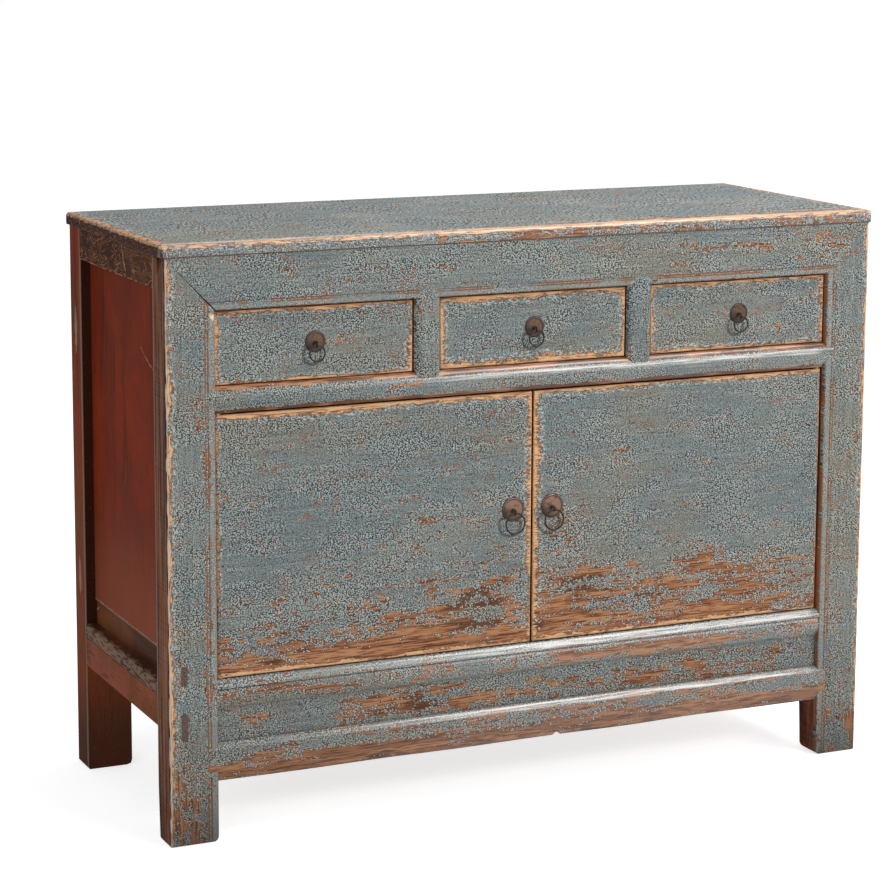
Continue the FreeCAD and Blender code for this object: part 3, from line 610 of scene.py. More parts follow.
def stand_in(piece, node, material):
    """Puts a finished piece in the place of a CAD node, on the node's body."""
    paint_slots(piece, material)
    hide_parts(node)
    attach(piece, body_of(frame["nodes"][node])[0])


def copied(name, mesh):
    piece = bpy.data.objects.new(name, mesh.copy())
    bpy.context.scene.collection.objects.link(piece)
    return piece


def skin(node, material):
    """Stands in for a painted node with mouldings: the same shape as one smooth skin."""
    piece = copied(f"{node}_skin", frame["nodes"][node].data)
    bpy.ops.object.select_all(action="DESELECT")
    piece.select_set(True)
    bpy.context.view_layer.objects.active = piece
    mode("EDIT")
    bpy.ops.mesh.select_all(action="SELECT")
    bpy.ops.mesh.remove_doubles(threshold=WELD)
    mode("OBJECT")
    bpy.ops.object.shade_smooth_by_angle(angle=SMOOTH_ANGLE)
    level = piece.modifiers.new("flat faces stay flat", "WEIGHTED_NORMAL")
    level.keep_sharp = True
    level.weight = 100
    bpy.ops.object.modifier_apply(modifier=level.name)
    stand_in(piece, node, material)


def spots(*rows):
    """Spots on the front, from rows of x, z, reach along x, reach along z and strength."""
    return [((x, FRONT, z), (wide, ANYWHERE, high), strength) for x, z, wide, high, strength in rows]


# How far the paint goes back on the posts and dividers
JAMB = 0.0075
# How much of the mortise plugs' paint is browned
PLUGS_BROWNED = 0.76

# For each post: the width of its bare corner, and its wear
POST_WEAR = {
    "left": ({"left": 0.0058}, {"wear": -0.01, "bare": spots(
        (-0.512, 0.52, 0.016, 0.2, 0.09), (-0.535, 0.03, 0.06, 0.16, 0.19),
        (-0.545, 0.2, 0.04, 0.12, 0.06), (-0.505, 0.3, 0.012, 0.16, 0.07)),
        "scorched": spots((-0.53, 0.02, 0.06, 0.14, 0.1))}),
    "right": ({"right": 0.004}, {"wear": -0.01, "bare": spots(
        (0.535, 0.79, 0.04, 0.05, 0.12), (0.53, 0.02, 0.06, 0.14, 0.2),
        (0.52, 0.24, 0.03, 0.14, 0.09), (0.545, 0.5, 0.02, 0.2, 0.05)),
        "stained": spots((0.53, 0.4, 0.1, 0.5, 0.16)),
        "scorched": spots((0.53, 0.02, 0.06, 0.14, 0.1))}),
}

# For each rail: how deep its paint goes behind the posts' front, and its wear
RAIL_WEAR = {
    "frieze_rail": (JAMB, {"wear": -0.02, "bare": spots(
        (-0.35, 0.806, 0.1, 0.012, 0.1), (-0.14, 0.8, 0.06, 0.008, 0.1),
        (0.02, 0.812, 0.06, 0.008, 0.11), (0.3, 0.806, 0.15, 0.012, 0.11),
        (0.5, 0.8, 0.06, 0.03, 0.1), (0.4, 0.8, 0.3, 0.05, 0.06)),
        "stained": spots((0.0, 0.79, 2.0, 0.05, 0.05))}),
    # On the mid rail, the bare and scorched band along its top is worn wood and a painted shadow under
    # the drawers
    "mid_rail": (0.01, {"wear": -0.02, "polish": 0.8, "bare": spots(
        (0.0, 0.611, ANYWHERE, 0.011, 0.42), (0.0, 0.651, ANYWHERE, 0.012, 0.46),
        (-0.2, 0.63, 0.2, 0.012, 0.06)),
        "scorched": spots((0.0, 0.611, ANYWHERE, 0.02, 0.2), (0.0, 0.651, ANYWHERE, 0.02, 0.16))}),
    "bottom_rail": (0.012, {"wear": 0.025, "polish": 1.0, "bare": spots(
        (-0.05, 0.21, 0.9, 0.026, 0.1), (0.2, 0.203, 0.35, 0.018, 0.11),
        (-0.4, 0.208, 0.15, 0.02, 0.08)), "stained": spots((-0.4, 0.205, 0.25, 0.03, 0.25))}),
    "base_panel": (0.02, {"wear": 0.05, "bare": spots(
        (-0.15, 0.165, 0.25, 0.04, 0.13), (0.28, 0.16, 0.32, 0.04, 0.11),
        (-0.42, 0.165, 0.1, 0.04, 0.05)),
        "scorched": spots((-0.16, 0.165, 0.12, 0.03, 0.1))}),
    "apron_rail": (0.02, {"wear": 0.05, "polish": 1.0, "bare": spots(
        (0.05, 0.098, ANYWHERE, 0.03, 0.27), (0.1, 0.134, 0.55, 0.014, 0.14),
        (-0.3, 0.12, 0.2, 0.02, 0.05)),
        "scorched": spots((0.0, 0.092, ANYWHERE, 0.012, 0.08))}),
}

# Heights between which the rounded rails get a painted highlight along their crests
PAINTED_HIGHLIGHT_HEIGHTS = {
    "mid_rail": (0.633, 0.644), "bottom_rail": (0.2215, 0.2335), "apron_rail": (0.1325, 0.143)}

# Distances of the moulding's arrises from the opening edge
POST_ARRISES = (0.0005, 0.0103, 0.015)
FRIEZE_ARRISES = (0.0005, 0.0082, 0.0118)
# The flake lost beside the left mitre: its middle, its reach, and the depths where it turns bare
MITRE_CHIP = ((-0.4945, FRONT, 0.748), (0.0065, 0.02, 0.0095))
CHIP_DEPTHS = (FRONT + 0.0016, FRONT + 0.0026)


class SIDEBOARD_OT_front_frame(bpy.types.Operator):
    """Paints the posts, rails, panel and dividers of the front frame"""

    bl_idname = "sideboard.front_frame"
    bl_label = "Front frame"

    def execute(self, context):
        for seed, (side, (corner, wear)) in enumerate(POST_WEAR.items()):
            node = f"front_post_{side}"
            paint = Paint(f"paint_{side}_post", "Z", 1.0 + 3.0 * seed, **wear)
            low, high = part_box(node)
            paint.worn_edges(low, high, **corner)
            inner = (high.x, -1) if side == "left" else (low.x, 1)
            paint.rubbed_lines(paint.x, *inner, POST_ARRISES)
            paint.darkened_low()
            paint.dark_jamb(JAMB)
            paint.brown_side()
            if side == "left":
                sunk = paint.y.soft(*CHIP_DEPTHS)
                paint.cover(paint.spot(*MITRE_CHIP) * sunk, paint.hue.cream)
            skin(node, paint.done())
        for seed, (node, (depth, wear)) in enumerate(RAIL_WEAR.items()):
            paint = Paint(f"paint_{node}", "X", 7.0 + 3.0 * seed, **wear)
            if node == "frieze_rail":
                paint.rubbed_lines(paint.z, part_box(node)[0].z, 1, FRIEZE_ARRISES)
            paint.darkened_low()
            # Painted highlight along the crests of the rounded rails
            if node in PAINTED_HIGHLIGHT_HEIGHTS:
                paint.painted_highlight(*PAINTED_HIGHLIGHT_HEIGHTS[node])
            paint.dark_jamb(depth)
            skin(node, paint.done())
        for side, seed in (("left", 21.0), ("right", 24.0)):
            paint = Paint(f"paint_divider_{side}", "Z", seed)
            paint.dark_jamb(JAMB)
            skin(f"drawer_divider_{side}", paint.done())
        plugs = Paint("paint_mortise_plugs", "Z", 27.0, -0.06)
        plugs.lay(PLUGS_BROWNED, plugs.hue.wood_brown)
        dress("mortise_plugs", plugs.done())
        return {"FINISHED"}


# How far beside its ring each pull's painted ring shadow lies, to the left and down
RING_SHADOW_OFFSET = (-0.005, 0.0, -0.003)


def pull_shadow_places(mover):
    """Middle and radius of a pull's backplate, and of the painted shadow beside its ring."""
    marks = []
    for part, moved in (("backplate", (0.0, 0.0, 0.0)), ("ring", RING_SHADOW_OFFSET)):
        low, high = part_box(f"{mover}_{part}")
        marks += [(low + high) / 2 + Vector(moved), (high.x - low.x) / 2]
    return marks


# How far behind their faces the paint ends and the wood turns pale: drawer fronts and doors
DRAWER_DEPTHS = (0.0035, 0.0185)
DOOR_DEPTHS = (0.0045, 0.019)


def leaf(paint, mover, low, high, widths, painted, thick):
    """Bares a drawer front's or a door's edges, darkens round its pull with dirt and painted shadows,
    and leaves it unpainted behind.
    """
    paint.worn_edges(low, high, **{edge: share * sizes().edge_wear for edge, share in widths.items()})
    paint.plate_dirt_and_ring_shadow(*pull_shadow_places(mover))
    paint.dark_jamb(RECESS + painted)
    paint.behind(RECESS + thick, paint.hue.pine_dark, paint.hue.pine)
    return paint.done()


# For each drawer: its edges' wear as shares of the usual width, and the spots of more wear
DRAWER_WEAR = {
    "left": ({"left": 0.7, "right": 0.9, "bottom": 0.6, "top": 0.7},
             spots((-0.32, 0.7, 0.04, 0.006, 0.08))),
    "middle": ({"left": 0.8, "right": 1.0, "bottom": 1.3, "top": 1.0},
               spots((-0.085, 0.672, 0.02, 0.008, 0.16))),
    "right": ({"left": 0.6, "right": 1.2, "bottom": 0.8, "top": 0.7},
              spots((0.4, 0.69, 0.04, 0.02, 0.1))),
}


class SIDEBOARD_OT_drawer_fronts(bpy.types.Operator):
    """Paints the drawer fronts, bare and rubbed along their edges"""

    bl_idname = "sideboard.drawer_fronts"
    bl_label = "Drawer fronts"

    def execute(self, context):
        for seed, (side, (widths, bare)) in enumerate(DRAWER_WEAR.items()):
            node = f"drawer_{side}_front"
            paint = Paint(f"paint_drawer_{side}", "X", 31.0 + 5.0 * seed, -0.02, bare)
            skin(node, leaf(paint, f"drawer_{side}", *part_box(node), widths, *DRAWER_DEPTHS))
        return {"FINISHED"}


# Lower and upper edge of the doors without their pivot pins
DOOR_BOTTOM = 0.235
DOOR_TOP = 0.609

# For each door: its edges' wear as shares of the usual width, and its wear
DOOR_WEAR = {
    "left": ({"left": 0.6, "right": 1.0, "bottom": 0.9, "top": 1.0}, {
        "wear": -0.025,
        "bare": spots((-0.24, 0.19, 1.5, 0.24, 0.17), (-0.12, 0.24, 0.3, 0.1, 0.12),
                      (-0.3, 0.235, 0.5, 0.045, 0.16), (-0.13, 0.43, 0.1, 0.014, 0.14),
                      (-0.41, 0.475, 0.09, 0.01, 0.14), (-0.08, 0.4, 0.14, 0.05, 0.07),
                      (-0.1, 0.34, 0.22, 0.06, 0.07), (-0.03, 0.555, 0.04, 0.03, 0.05)),
        "stained": spots((-0.4, 0.58, 0.25, 0.05, 0.12), (-0.12, 0.56, 0.2, 0.06, 0.1)),
        "slate": spots((-0.38, 0.44, 0.22, 0.07, 0.14), (-0.15, 0.5, 0.25, 0.05, 0.1)),
        "scorched": spots((-0.09, 0.29, 0.1, 0.06, 0.2))}),
    "right": ({"left": 1.1, "right": 0.6, "bottom": 0.9, "top": 0.8}, {
        "wear": -0.025,
        "bare": spots((0.24, 0.19, 1.5, 0.23, 0.17), (0.05, 0.32, 0.09, 0.12, 0.1),
                      (0.28, 0.31, 0.26, 0.06, 0.1), (0.2, 0.24, 0.5, 0.04, 0.12),
                      (0.33, 0.545, 0.05, 0.015, 0.12), (0.12, 0.5, 0.1, 0.02, 0.08),
                      (0.1, 0.41, 0.12, 0.06, 0.06)),
        "stained": spots((0.24, 0.56, 0.35, 0.06, 0.12)),
        "slate": spots((0.25, 0.44, 0.3, 0.07, 0.1)),
        "scorched": spots((0.1, 0.3, 0.1, 0.06, 0.14))}),
}


class SIDEBOARD_OT_doors(bpy.types.Operator):
    """Paints the doors, worn to the wood towards their lower edges"""

    bl_idname = "sideboard.doors"
    bl_label = "Doors"

    def execute(self, context):
        battens = raw_wood("batten_wood", "Z", 66.0)
        for seed, (side, (widths, wear)) in enumerate(DOOR_WEAR.items()):
            node = f"door_{side}_slab"
            low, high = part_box(node)
            low.z, high.z = DOOR_BOTTOM, DOOR_TOP
            paint = Paint(f"paint_{side}_door", "X", 51.0 + 6.0 * seed, **wear)
            skin(node, leaf(paint, f"door_{side}", low, high, widths, *DOOR_DEPTHS))
            dress(f"door_{side}_battens", battens)
        return {"FINISHED"}


# How far the bare edges reach down the top's front and its ends
TOP_BANDS = {"front": 0.0052, "ends": 0.0055}


class SIDEBOARD_OT_top(bpy.types.Operator):
    """Paints the top, worn bare along its front edge and dark at its ends"""

    bl_idname = "sideboard.top"
    bl_label = "Top"

    def execute(self, context):
        bare = [((0.3, TOP_EDGE, 0.85), (0.5, 0.075, ANYWHERE), 0.14),
                ((-0.05, TOP_EDGE, 0.85), (0.35, 0.045, ANYWHERE), 0.11)]
        blue = [((0.0, 0.0, 0.85), (ANYWHERE,) * 3, 0.1)]
        paint = Paint("paint_top", "X", 71.0, -0.01, bare, slate=blue, deep=4.0)
        shape = paint.noise((0.026, 0.012, 0.004), 1.0, detail=4.0, roughness=0.7)
        ragged = shape.soft(0.3, 0.7, -0.8, 0.8) + paint.scatter * 0.16
        from_top = CAD_BOX[1].z - paint.z
        from_front = paint.y - TOP_EDGE
        from_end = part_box("top_board_right")[1].x - abs(paint.x)
        band = paint.x.soft(-0.55, 0.55, 0.0085, 0.024)
        for down, inward in ((TOP_BANDS["front"], from_front / band),
                             (TOP_BANDS["ends"], from_end * (1 / 0.0105))):
            paint.worn_band(paint.calc("MAXIMUM", from_top * (1 / down), inward) + ragged)
        flecks = paint.noise((0.004, 0.01, 0.004), 2.0, roughness=0.7)
        dark_end = paint.layered(paint.hue.red_deep, (flecks.soft(0.56, 0.62), paint.hue.wood_orange))
        low_end = (from_top + ragged * 0.001).soft(0.0045, 0.0055)
        paint.cover(from_end.soft(0.004, 0.0028) * low_end, dark_end)
        paint.cover(from_top.soft(0.0165, 0.0172), paint.hue.wood_brown)
        paint.fill(paint.shader, {"Coat Weight": from_front.soft(0.02, 0.008)})
        material = paint.done()
        for side in ("left", "middle", "right"):
            skin(f"top_board_{side}", material)
        return {"FINISHED"}


class SIDEBOARD_OT_sides(bpy.types.Operator):
    """Gives the side frames their red-brown lacquer"""

    bl_idname = "sideboard.sides"
    bl_label = "Sides"

    def execute(self, context):
        c = colours()
        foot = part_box("side_panel_left")[0].z
        bright = shaded(c.red, 1.28)
        panel = Lacquer("lacquer_side_panel", "Z", 81.0, shaded(c.red, 0.85), bright)
        panel.lay(panel.z.soft(foot + 0.2, foot), c.red_pale)
        panel.worn(panel.z.soft(foot + 0.012, foot, 0.0, 1.6), c.worn_grey)
        panel.scratch((-0.547, -0.1, 0.672), 24.0, 0.045, 0.0009, c.wood_warm)
        panel.scratch((-0.547, 0.02, 0.48), -70.0, 0.03, 0.0007, c.wood_orange)
        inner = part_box("side_panel_right")[0].x
        panel.lay(abs(panel.x).soft(inner + 0.002, inner + 0.001), c.pine_dark)
        panel = panel.done()

        top_rail = Lacquer("lacquer_side_top_rail", "Y", 83.0, c.red_deep, c.wood_brown)
        top_rail.swirls(c.wood_orange)
        low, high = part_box("side_top_rail_left")
        for edge, sign in ((low.z, 1), (high.z, -1)):
            away = (top_rail.z - edge) * sign
            top_rail.worn(away.soft(0.0022, 0.0008), c.wood_tan, 0.7)
        top_rail.scratch((-0.563, -0.04, 0.812), 64.0, 0.022, 0.001, c.wood_tan)
        top_rail = top_rail.done()

        low_rail = Lacquer("lacquer_side_low_rail", "Y", 85.0, shaded(c.red_pale, 1.25), c.umber)
        low_rail.worn(low_rail.spot((-0.563, 0.16, 0.19), (0.05, 0.06, 0.03)), c.wood_brown, 0.6)
        low_rail = low_rail.done()
        for side in ("left", "right"):
            dress(f"side_panel_{side}", panel)
            dress(f"side_top_rail_{side}", top_rail)
            dress(f"side_bottom_rail_{side}", low_rail)

        board = Lacquer("lacquer_lower_board", "Y", 91.0, c.wood_brown, c.umber)
        board.scratch((-0.545, 0.17, 0.245), -35.0, 0.016, 0.0009, c.chalk)
        dress("side_lower_boards", board.done())
        ledge = Lacquer("lacquer_ledge", "Y", 93.0, c.umber, c.wood_brown)
        rubbed = abs(ledge.x).soft(OUTSIDE - 0.014, OUTSIDE - 0.003, 0.3, 1.1)
        ledge.worn(rubbed, c.worn_grey, 0.6)
        dress("side_ledges", ledge.done())

        rail_top, ledge_top = (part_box(node)[1].z for node in ("side_bottom_rail_left", "side_ledges"))
        for side, seed in (("left", 95.0), ("right", 97.0)):
            post = Lacquer(f"lacquer_back_post_{side}", "Z", seed, bright, c.umber)
            post.lay(post.z.soft(0.16, 0.04, 0.0, 0.85), c.wood_brown)
            for z, high in ((0.675, 0.065), (0.3, 0.05)):
                rubbed = post.spot((-0.563, 0.196, z), (0.02, 0.01, high))
                post.worn(rubbed * 1.6, c.worn_grey)
            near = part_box(f"back_post_{side}")[0].y
            outer = abs(post.x).soft(OUTSIDE - 0.002, OUTSIDE - 0.0008)
            # Painted shade: near-black red on the back post's face inside the panel recess
            recess = post.y.soft(near + 0.002, near + 0.0006) * post.z.soft(rail_top, ledge_top)
            post.lay(recess * (1.0 - outer), c.red_deep)
            post.lay(outer * post.y.soft(near + 0.0036, near + 0.002) * 0.8, c.worn_grey)
            dress(f"back_post_{side}", post.done())
        return {"FINISHED"}


# How many boards lie side by side in a node
BOARD_ROWS = {"back_boards_lower": 4, "floor_boards": 6}


class SIDEBOARD_OT_inside_and_back(bpy.types.Operator):
    """Leaves the back, the inside and the drawer boxes in aged bare wood"""

    bl_idname = "sideboard.inside_and_back"
    bl_label = "Inside and back"

    def execute(self, context):
        nodes = {
            "back_top_rail": "X", "back_mid_rail": "X", "back_bottom_rail": "X",
            "back_panel_upper": "X", "back_boards_lower": "Z", "top_cleats": "Y",
            "floor_boards": "Y", "drawer_runners": "Y", "door_stop_strip": "X"}
        for side in ("left", "middle", "right"):
            nodes[f"drawer_{side}_box"] = "Y"
            nodes[f"drawer_{side}_floor"] = "Y"
        for seed, (node, grain) in enumerate(nodes.items()):
            boards = None
            if node in BOARD_ROWS:
                low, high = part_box(node)
                boards = (low.x, (high.x - low.x) / BOARD_ROWS[node])
            dress(node, raw_wood(f"bare_{node}", grain, 101.0 + seed, boards))
        return {"FINISHED"}


DRAWER_PULLS = ("drawer_left", "drawer_middle", "drawer_right")
DOOR_PULLS = ("door_left", "door_right")


def pull_pivot(mover):
    """Axis point of a ring pull."""
    for joint in frame["joints"]:
        if joint["name"] == f"{mover}_ring_swing":
            return Vector(joint["pos_m"])
    raise RuntimeError(f"{mover} has no ring")


def pick_front(shape, tolerance=0.00001):
    """Selects the one foremost flat face of a shape in edit mode."""
    mode("OBJECT")
    foremost = min(corner.co.y for corner in shape.data.vertices)
    for face in shape.data.polygons:
        face.select = all(shape.data.vertices[i].co.y < foremost + tolerance for i in face.vertices)
    mode("EDIT")
    bpy.ops.mesh.select_mode(type="FACE")


# How far each ring of a backplate goes inwards, in rims, and back, in thicknesses of the plate
PLATE_STEPS = (
    (0.35, -0.3), (0.35, -0.18), (0.5, 0.06), (0.8, 0.16), (2.0, -0.05), (3.5, -0.06), (3.0, -0.04))


def backplate(mover):
    """Turned disc: a chamfered rim, a bead inside it and a shallow dish rising to the middle."""
    low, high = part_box(f"{mover}_backplate")
    radius = (high.x - low.x) / 2
    thick = high.y - low.y
    rim = sizes().plate_rim
    plate = primitive(
        bpy.ops.mesh.primitive_cylinder_add, vertices=72, radius=radius, depth=thick * 0.45,
        location=(0.0, -thick * 0.225, 0.0), rotation=(math.pi / 2, 0.0, 0.0))
    bpy.ops.object.transform_apply(location=True, rotation=True, scale=True)
    mode("EDIT")
    bpy.ops.mesh.select_all(action="DESELECT")
    pick_front(plate)
    for inward, forward in PLATE_STEPS:
        bpy.ops.mesh.inset(thickness=rim * inward)
        bpy.ops.transform.translate(value=(0.0, thick * forward, 0.0))
    bpy.ops.mesh.poke()
    mode("OBJECT")
    bpy.ops.object.shade_smooth_by_angle(angle=math.radians(50.0))
    middle = Vector(((low.x + high.x) / 2, high.y, (low.z + high.z) / 2))
    return plate, middle


# The eyes' wire, the steps and the opening of their loops
EYE_WIRE = 0.0022
EYE_TURNS = 14
EYE_OPENING = math.radians(50.0)
# How much wider than deep the wire of a ring is
RING_STOUT = 1.55
# Where a ring thins towards its eye, in radii below the eye, and by how much of its wire each time
RING_THINS = (0.6, 0.4, 0.24, 0.12)
RING_THINNING = 0.075


def eye(mover):
    """Eye of one bent wire, whose two legs go back through the board and are clenched behind it."""
    low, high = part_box(f"{mover}_eye")
    pivot = pull_pivot(mover)
    plate_low, plate_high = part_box(f"{mover}_backplate")
    hub = Vector((pivot.x, plate_high.y, (plate_low.z + plate_high.z) / 2))
    reach = pivot.y - low.y - EYE_WIRE / 2
    to_hub = math.atan2(hub.z - pivot.z, (hub.y - pivot.y) * 0.5)
    behind = high.y - EYE_WIRE / 2
    apart = EYE_WIRE * 0.42
    spread = (high.x - low.x) / 2 - EYE_WIRE / 2
    loop = []
    for i in range(EYE_TURNS + 1):
        share = i / EYE_TURNS
        angle = to_hub + EYE_OPENING / 2 + share * (math.tau - EYE_OPENING)
        loop.append((apart * (1 - 2 * share), reach * math.cos(angle), reach * math.sin(angle)))
    back = behind - pivot.y
    rise = hub.z - pivot.z
    inside = hub.y - pivot.y - 0.001
    leg = [(spread, back, rise), (spread * 0.3, back, rise), (apart, back, rise),
           (apart, back - 0.0014, rise), (apart, (back + inside) / 2, rise),
           (apart, inside, rise), (apart, inside - 0.0012, rise * 0.93)]
    other_leg = [(-x, y, z) for x, y, z in reversed(leg)]
    wire = primitive(bpy.ops.curve.primitive_nurbs_path_add, location=(0.0, 0.0, 0.0))
    spline = wire.data.splines[0]
    route = leg + loop + other_leg
    spline.points.add(len(route) - len(spline.points))
    for point, place in zip(spline.points, route):
        point.co = (*place, 1.0)
    spline.order_u = 3
    spline.use_endpoint_u = True
    spline.resolution_u = 6
    wire.data.bevel_depth = EYE_WIRE / 2
    wire.data.bevel_resolution = 3
    wire.data.use_fill_caps = True
    bpy.ops.object.convert(target="MESH")
    wire = bpy.context.active_object
    bpy.ops.object.shade_smooth()
    return wire, pivot


def ring(mover):
    """Ring of round wire, worn thinner where it hangs in its eye."""
    low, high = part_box(f"{mover}_ring")
    wire = high.y - low.y
    stout = wire * RING_STOUT
    middle_radius = (high.x - low.x - stout) / 2
    hoop = primitive(
        bpy.ops.mesh.primitive_torus_add, major_radius=middle_radius, minor_radius=stout / 2,
        major_segments=96, minor_segments=20, rotation=(math.pi / 2, 0.0, 0.0),
        location=(0.0, 0.0, (wire - stout) / 2 - middle_radius))
    hoop.scale = (1.0, 1.0, 1.0 / RING_STOUT)
    bpy.ops.object.transform_apply(location=True, rotation=True, scale=True)
    for share in RING_THINS:
        for corner in hoop.data.vertices:
            corner.select = corner.co.z > -middle_radius * share
        mode("EDIT")
        bpy.ops.mesh.select_mode(type="VERT")
        bpy.ops.transform.shrink_fatten(value=-wire * RING_THINNING)
        mode("OBJECT")
    bpy.ops.object.shade_smooth()
    return hoop, pull_pivot(mover)


def plate_copper(mover, tint):
    """Copper with dirt in the hollow inside its rim, painted shade towards its lower left and a painted
    shadow round the eye.
    """
    low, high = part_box(f"{mover}_backplate")
    middle, radius = (low + high) / 2, (high.x - low.x) / 2
    metal = Metal(f"{mover}_plate_copper", tint, 0.4, 111.0 + middle.x)
    # Painted shade: darker towards the lower left, away from the lamps
    shade_lean = metal.x * 0.6 + metal.z * 0.8 + (-0.6 * middle.x - 0.8 * middle.z)
    metal.darkened(shade_lean.soft(radius * 0.2, -radius * 0.9, 0.0, 0.75))
    away = metal.aside(middle)
    rim = away.soft(radius * 0.8, radius * 0.88) * away.soft(radius * 0.97, radius * 0.91)
    metal.darkened(rim * 0.8)
    # Painted shadow round the eye
    metal.darkened(metal.aside(pull_pivot(mover)).soft(0.0065, 0.003, 0.0, 0.9))
    return metal.done()


def ring_bronze(mover):
    """Bronze with painted shade round the ring's flanks, so that it stays bright only along its front.
    """
    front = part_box(f"{mover}_ring")[0].y
    metal = Metal(f"{mover}_ring_bronze", colours().bronze, 0.3, 115.0)
    # Painted shade on the ring's flanks
    metal.darkened(metal.y.soft(front + 0.0004, front + 0.0009))
    return metal.done()


class SIDEBOARD_OT_ring_pulls(bpy.types.Operator):
    """Models the ring pulls: a turned backplate, an eye of bent wire and a hanging ring"""

    bl_idname = "sideboard.ring_pulls"
    bl_label = "Ring pulls"

    def execute(self, context):
        c = colours()
        iron = Metal("eye_iron", shaded(c.bronze, 0.25), 0.3, 117.0).done()
        for movers, share in ((DRAWER_PULLS, 0.55), (DOOR_PULLS, 1.0)):
            bronze = ring_bronze(movers[0])
            plates = [plate_copper(mover, shaded(c.copper, share)) for mover in movers]
            parts = (("backplate", backplate, plates, "pull_plate"),
                     ("eye", eye, [iron] * len(movers), "pull_brass"),
                     ("ring", ring, [bronze] * len(movers), "pull_brass"))
            for part, build, looks, slot in parts:
                model, place = build(movers[0])
                for mover, look in zip(movers, looks):
                    node = f"{mover}_{part}"
                    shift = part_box(node)[0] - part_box(f"{movers[0]}_{part}")[0]
                    piece = copied(f"{node}_wrought", model.data)
                    piece.data.transform(Matrix.Translation(place + shift))
                    stand_in(piece, node, look)
                bpy.data.objects.remove(model)
        return {"FINISHED"}


class SIDEBOARD_OT_studio(bpy.types.Operator):
    """Sets up the pale floor, the soft lamps and the camera"""

    bl_idname = "sideboard.studio"
    bl_label = "Studio"

    def execute(self, context):
        floor()
        surroundings()
        lamps()
        camera()
        context.scene.view_settings.view_transform = "Standard"
        return {"FINISHED"}


def floor():
    """A pale floor that the camera sees nearly white."""
    ground = primitive(bpy.ops.mesh.primitive_plane_add, size=60.0, location=(0.0, 0.0, -0.0005))
    ground.name = "studio_floor"
    f = Finish("studio_floor_white")
    seen = f.value("ShaderNodeLightPath", {}, "Is Camera Ray")
    f.fill(f.shader, {"Base Color": (0.86,) * 3, "Roughness": 0.9, "Emission Color": (1.0,) * 3,
                      "Emission Strength": seen * 0.7})
    ground.data.materials.append(f.material)


def surroundings():
    """White where it is seen or mirrored, and a soft, even light elsewhere."""
    world = bpy.data.worlds.new("studio_white")
    bpy.context.scene.world = world
    world.use_nodes = True
    tree = Tree(world.node_tree)
    light = tree.nodes["Background"]
    tree.fill(light, {"Color": (0.94, 0.97, 1.0), "Strength": 0.36})
    white = tree.add("ShaderNodeBackground", {"Color": (1.0,) * 3})
    rays = tree.add("ShaderNodeLightPath").outputs
    seen = rays["Is Camera Ray"]
    for ray in ("Is Glossy Ray", "Is Transmission Ray"):
        seen = tree.calc("MAXIMUM", seen, rays[ray])
    mixed = tree.add("ShaderNodeMixShader", {0: seen, 1: light.outputs[0], 2: white.outputs[0]})
    tree.fill(tree.nodes["World Output"], {"Surface": mixed.outputs[0]})


# Each lamp: name, place, width, height, power in watts, colour
LAMPS = (
    ("key_lamp", (1.5, -2.9, 1.8), 2.2, 0.5, 46.0, (1.0, 0.97, 0.94)),
    ("fill_lamp", (-3.0, -2.6, 1.6), 2.4, 2.0, 30.0, (0.96, 0.98, 1.0)),
    ("strip_lamp", (1.4, -0.9, 3.1), 2.2, 0.6, 84.0, (1.0, 0.99, 0.98)),
)
LAMPS_AIM = Vector((0.0, 0.0, 0.45))


def lamps():
    for name, place, width, height, power, tint in LAMPS:
        light = bpy.data.lights.new(name, "AREA")
        light.shape = "RECTANGLE"
        light.size = width
        light.size_y = height
        light.energy = power
        light.color = tint
        holder = bpy.data.objects.new(name, light)
        bpy.context.scene.collection.objects.link(holder)
        holder.visible_camera = False
        holder.location = place
        holder.rotation_euler = (LAMPS_AIM - Vector(place)).to_track_quat("-Z", "Y").to_euler()


# Where the camera stands, how it is turned, and its lens and picture shift
CAMERA_PLACE = (-1.7379, -3.7, 1.3076)
CAMERA_YAW = math.radians(-24.638)
CAMERA_PITCH = math.radians(-9.106)
CAMERA_ROLL = math.radians(0.255)
CAMERA_LENS = 109.7
CAMERA_SHIFT = -0.12


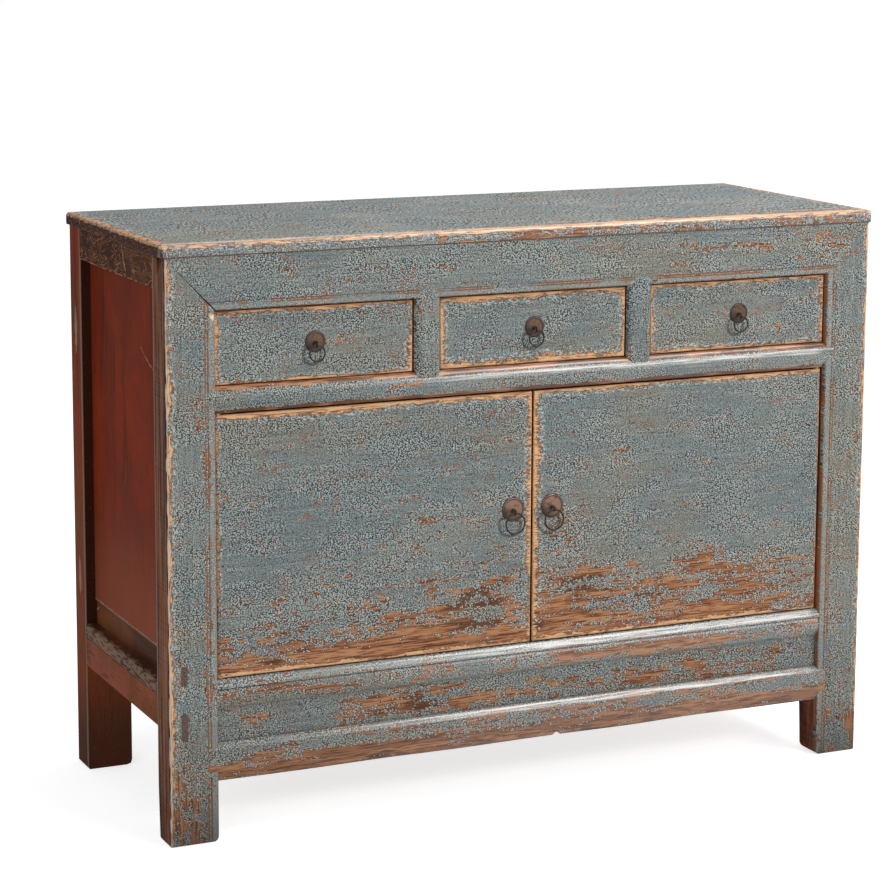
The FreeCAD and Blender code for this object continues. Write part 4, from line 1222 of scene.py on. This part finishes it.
def camera():
    lens = bpy.data.cameras.new("studio_camera")
    lens.lens = CAMERA_LENS
    lens.sensor_width = 36.0
    lens.shift_y = CAMERA_SHIFT
    holder = bpy.data.objects.new("studio_camera", lens)
    bpy.context.scene.collection.objects.link(holder)
    upright = Matrix.Rotation(math.pi / 2, 4, "X")
    turned = (Matrix.Rotation(CAMERA_YAW, 4, "Z") @ Matrix.Rotation(CAMERA_PITCH, 4, "X")
              @ Matrix.Rotation(-CAMERA_ROLL, 4, "Y"))
    holder.matrix_world = Matrix.Translation(CAMERA_PLACE) @ turned @ upright
    bpy.context.scene.camera = holder


OPERATORS = (
    SIDEBOARD_OT_front_frame, SIDEBOARD_OT_drawer_fronts, SIDEBOARD_OT_doors, SIDEBOARD_OT_top,
    SIDEBOARD_OT_sides, SIDEBOARD_OT_inside_and_back, SIDEBOARD_OT_ring_pulls, SIDEBOARD_OT_studio,
)


class SIDEBOARD_PT_panel(bpy.types.Panel):
    """Lists the sideboard's colours, sizes and making steps"""

    bl_idname = "SIDEBOARD_PT_panel"
    bl_label = "Sideboard"
    bl_space_type = "VIEW_3D"
    bl_region_type = "UI"
    bl_category = "Sideboard"

    def draw(self, context):
        for settings in (context.scene.sideboard_colours, context.scene.sideboard_sizes):
            for name in settings.__annotations__:
                self.layout.prop(settings, name)
        for step in OPERATORS:
            self.layout.operator(step.bl_idname)


CLASSES = (SideboardColours, SideboardSizes, *OPERATORS, SIDEBOARD_PT_panel)


def register():
    for kind in CLASSES:
        bpy.utils.register_class(kind)
    bpy.types.Scene.sideboard_colours = bpy.props.PointerProperty(type=SideboardColours)
    bpy.types.Scene.sideboard_sizes = bpy.props.PointerProperty(type=SideboardSizes)


def unregister():
    del bpy.types.Scene.sideboard_sizes
    del bpy.types.Scene.sideboard_colours
    for kind in reversed(CLASSES):
        bpy.utils.unregister_class(kind)


def main():
    register()
    for step in OPERATORS:
        group, name = step.bl_idname.split(".")
        getattr(getattr(bpy.ops, group), name)()


if __name__ == "__main__":
    main()
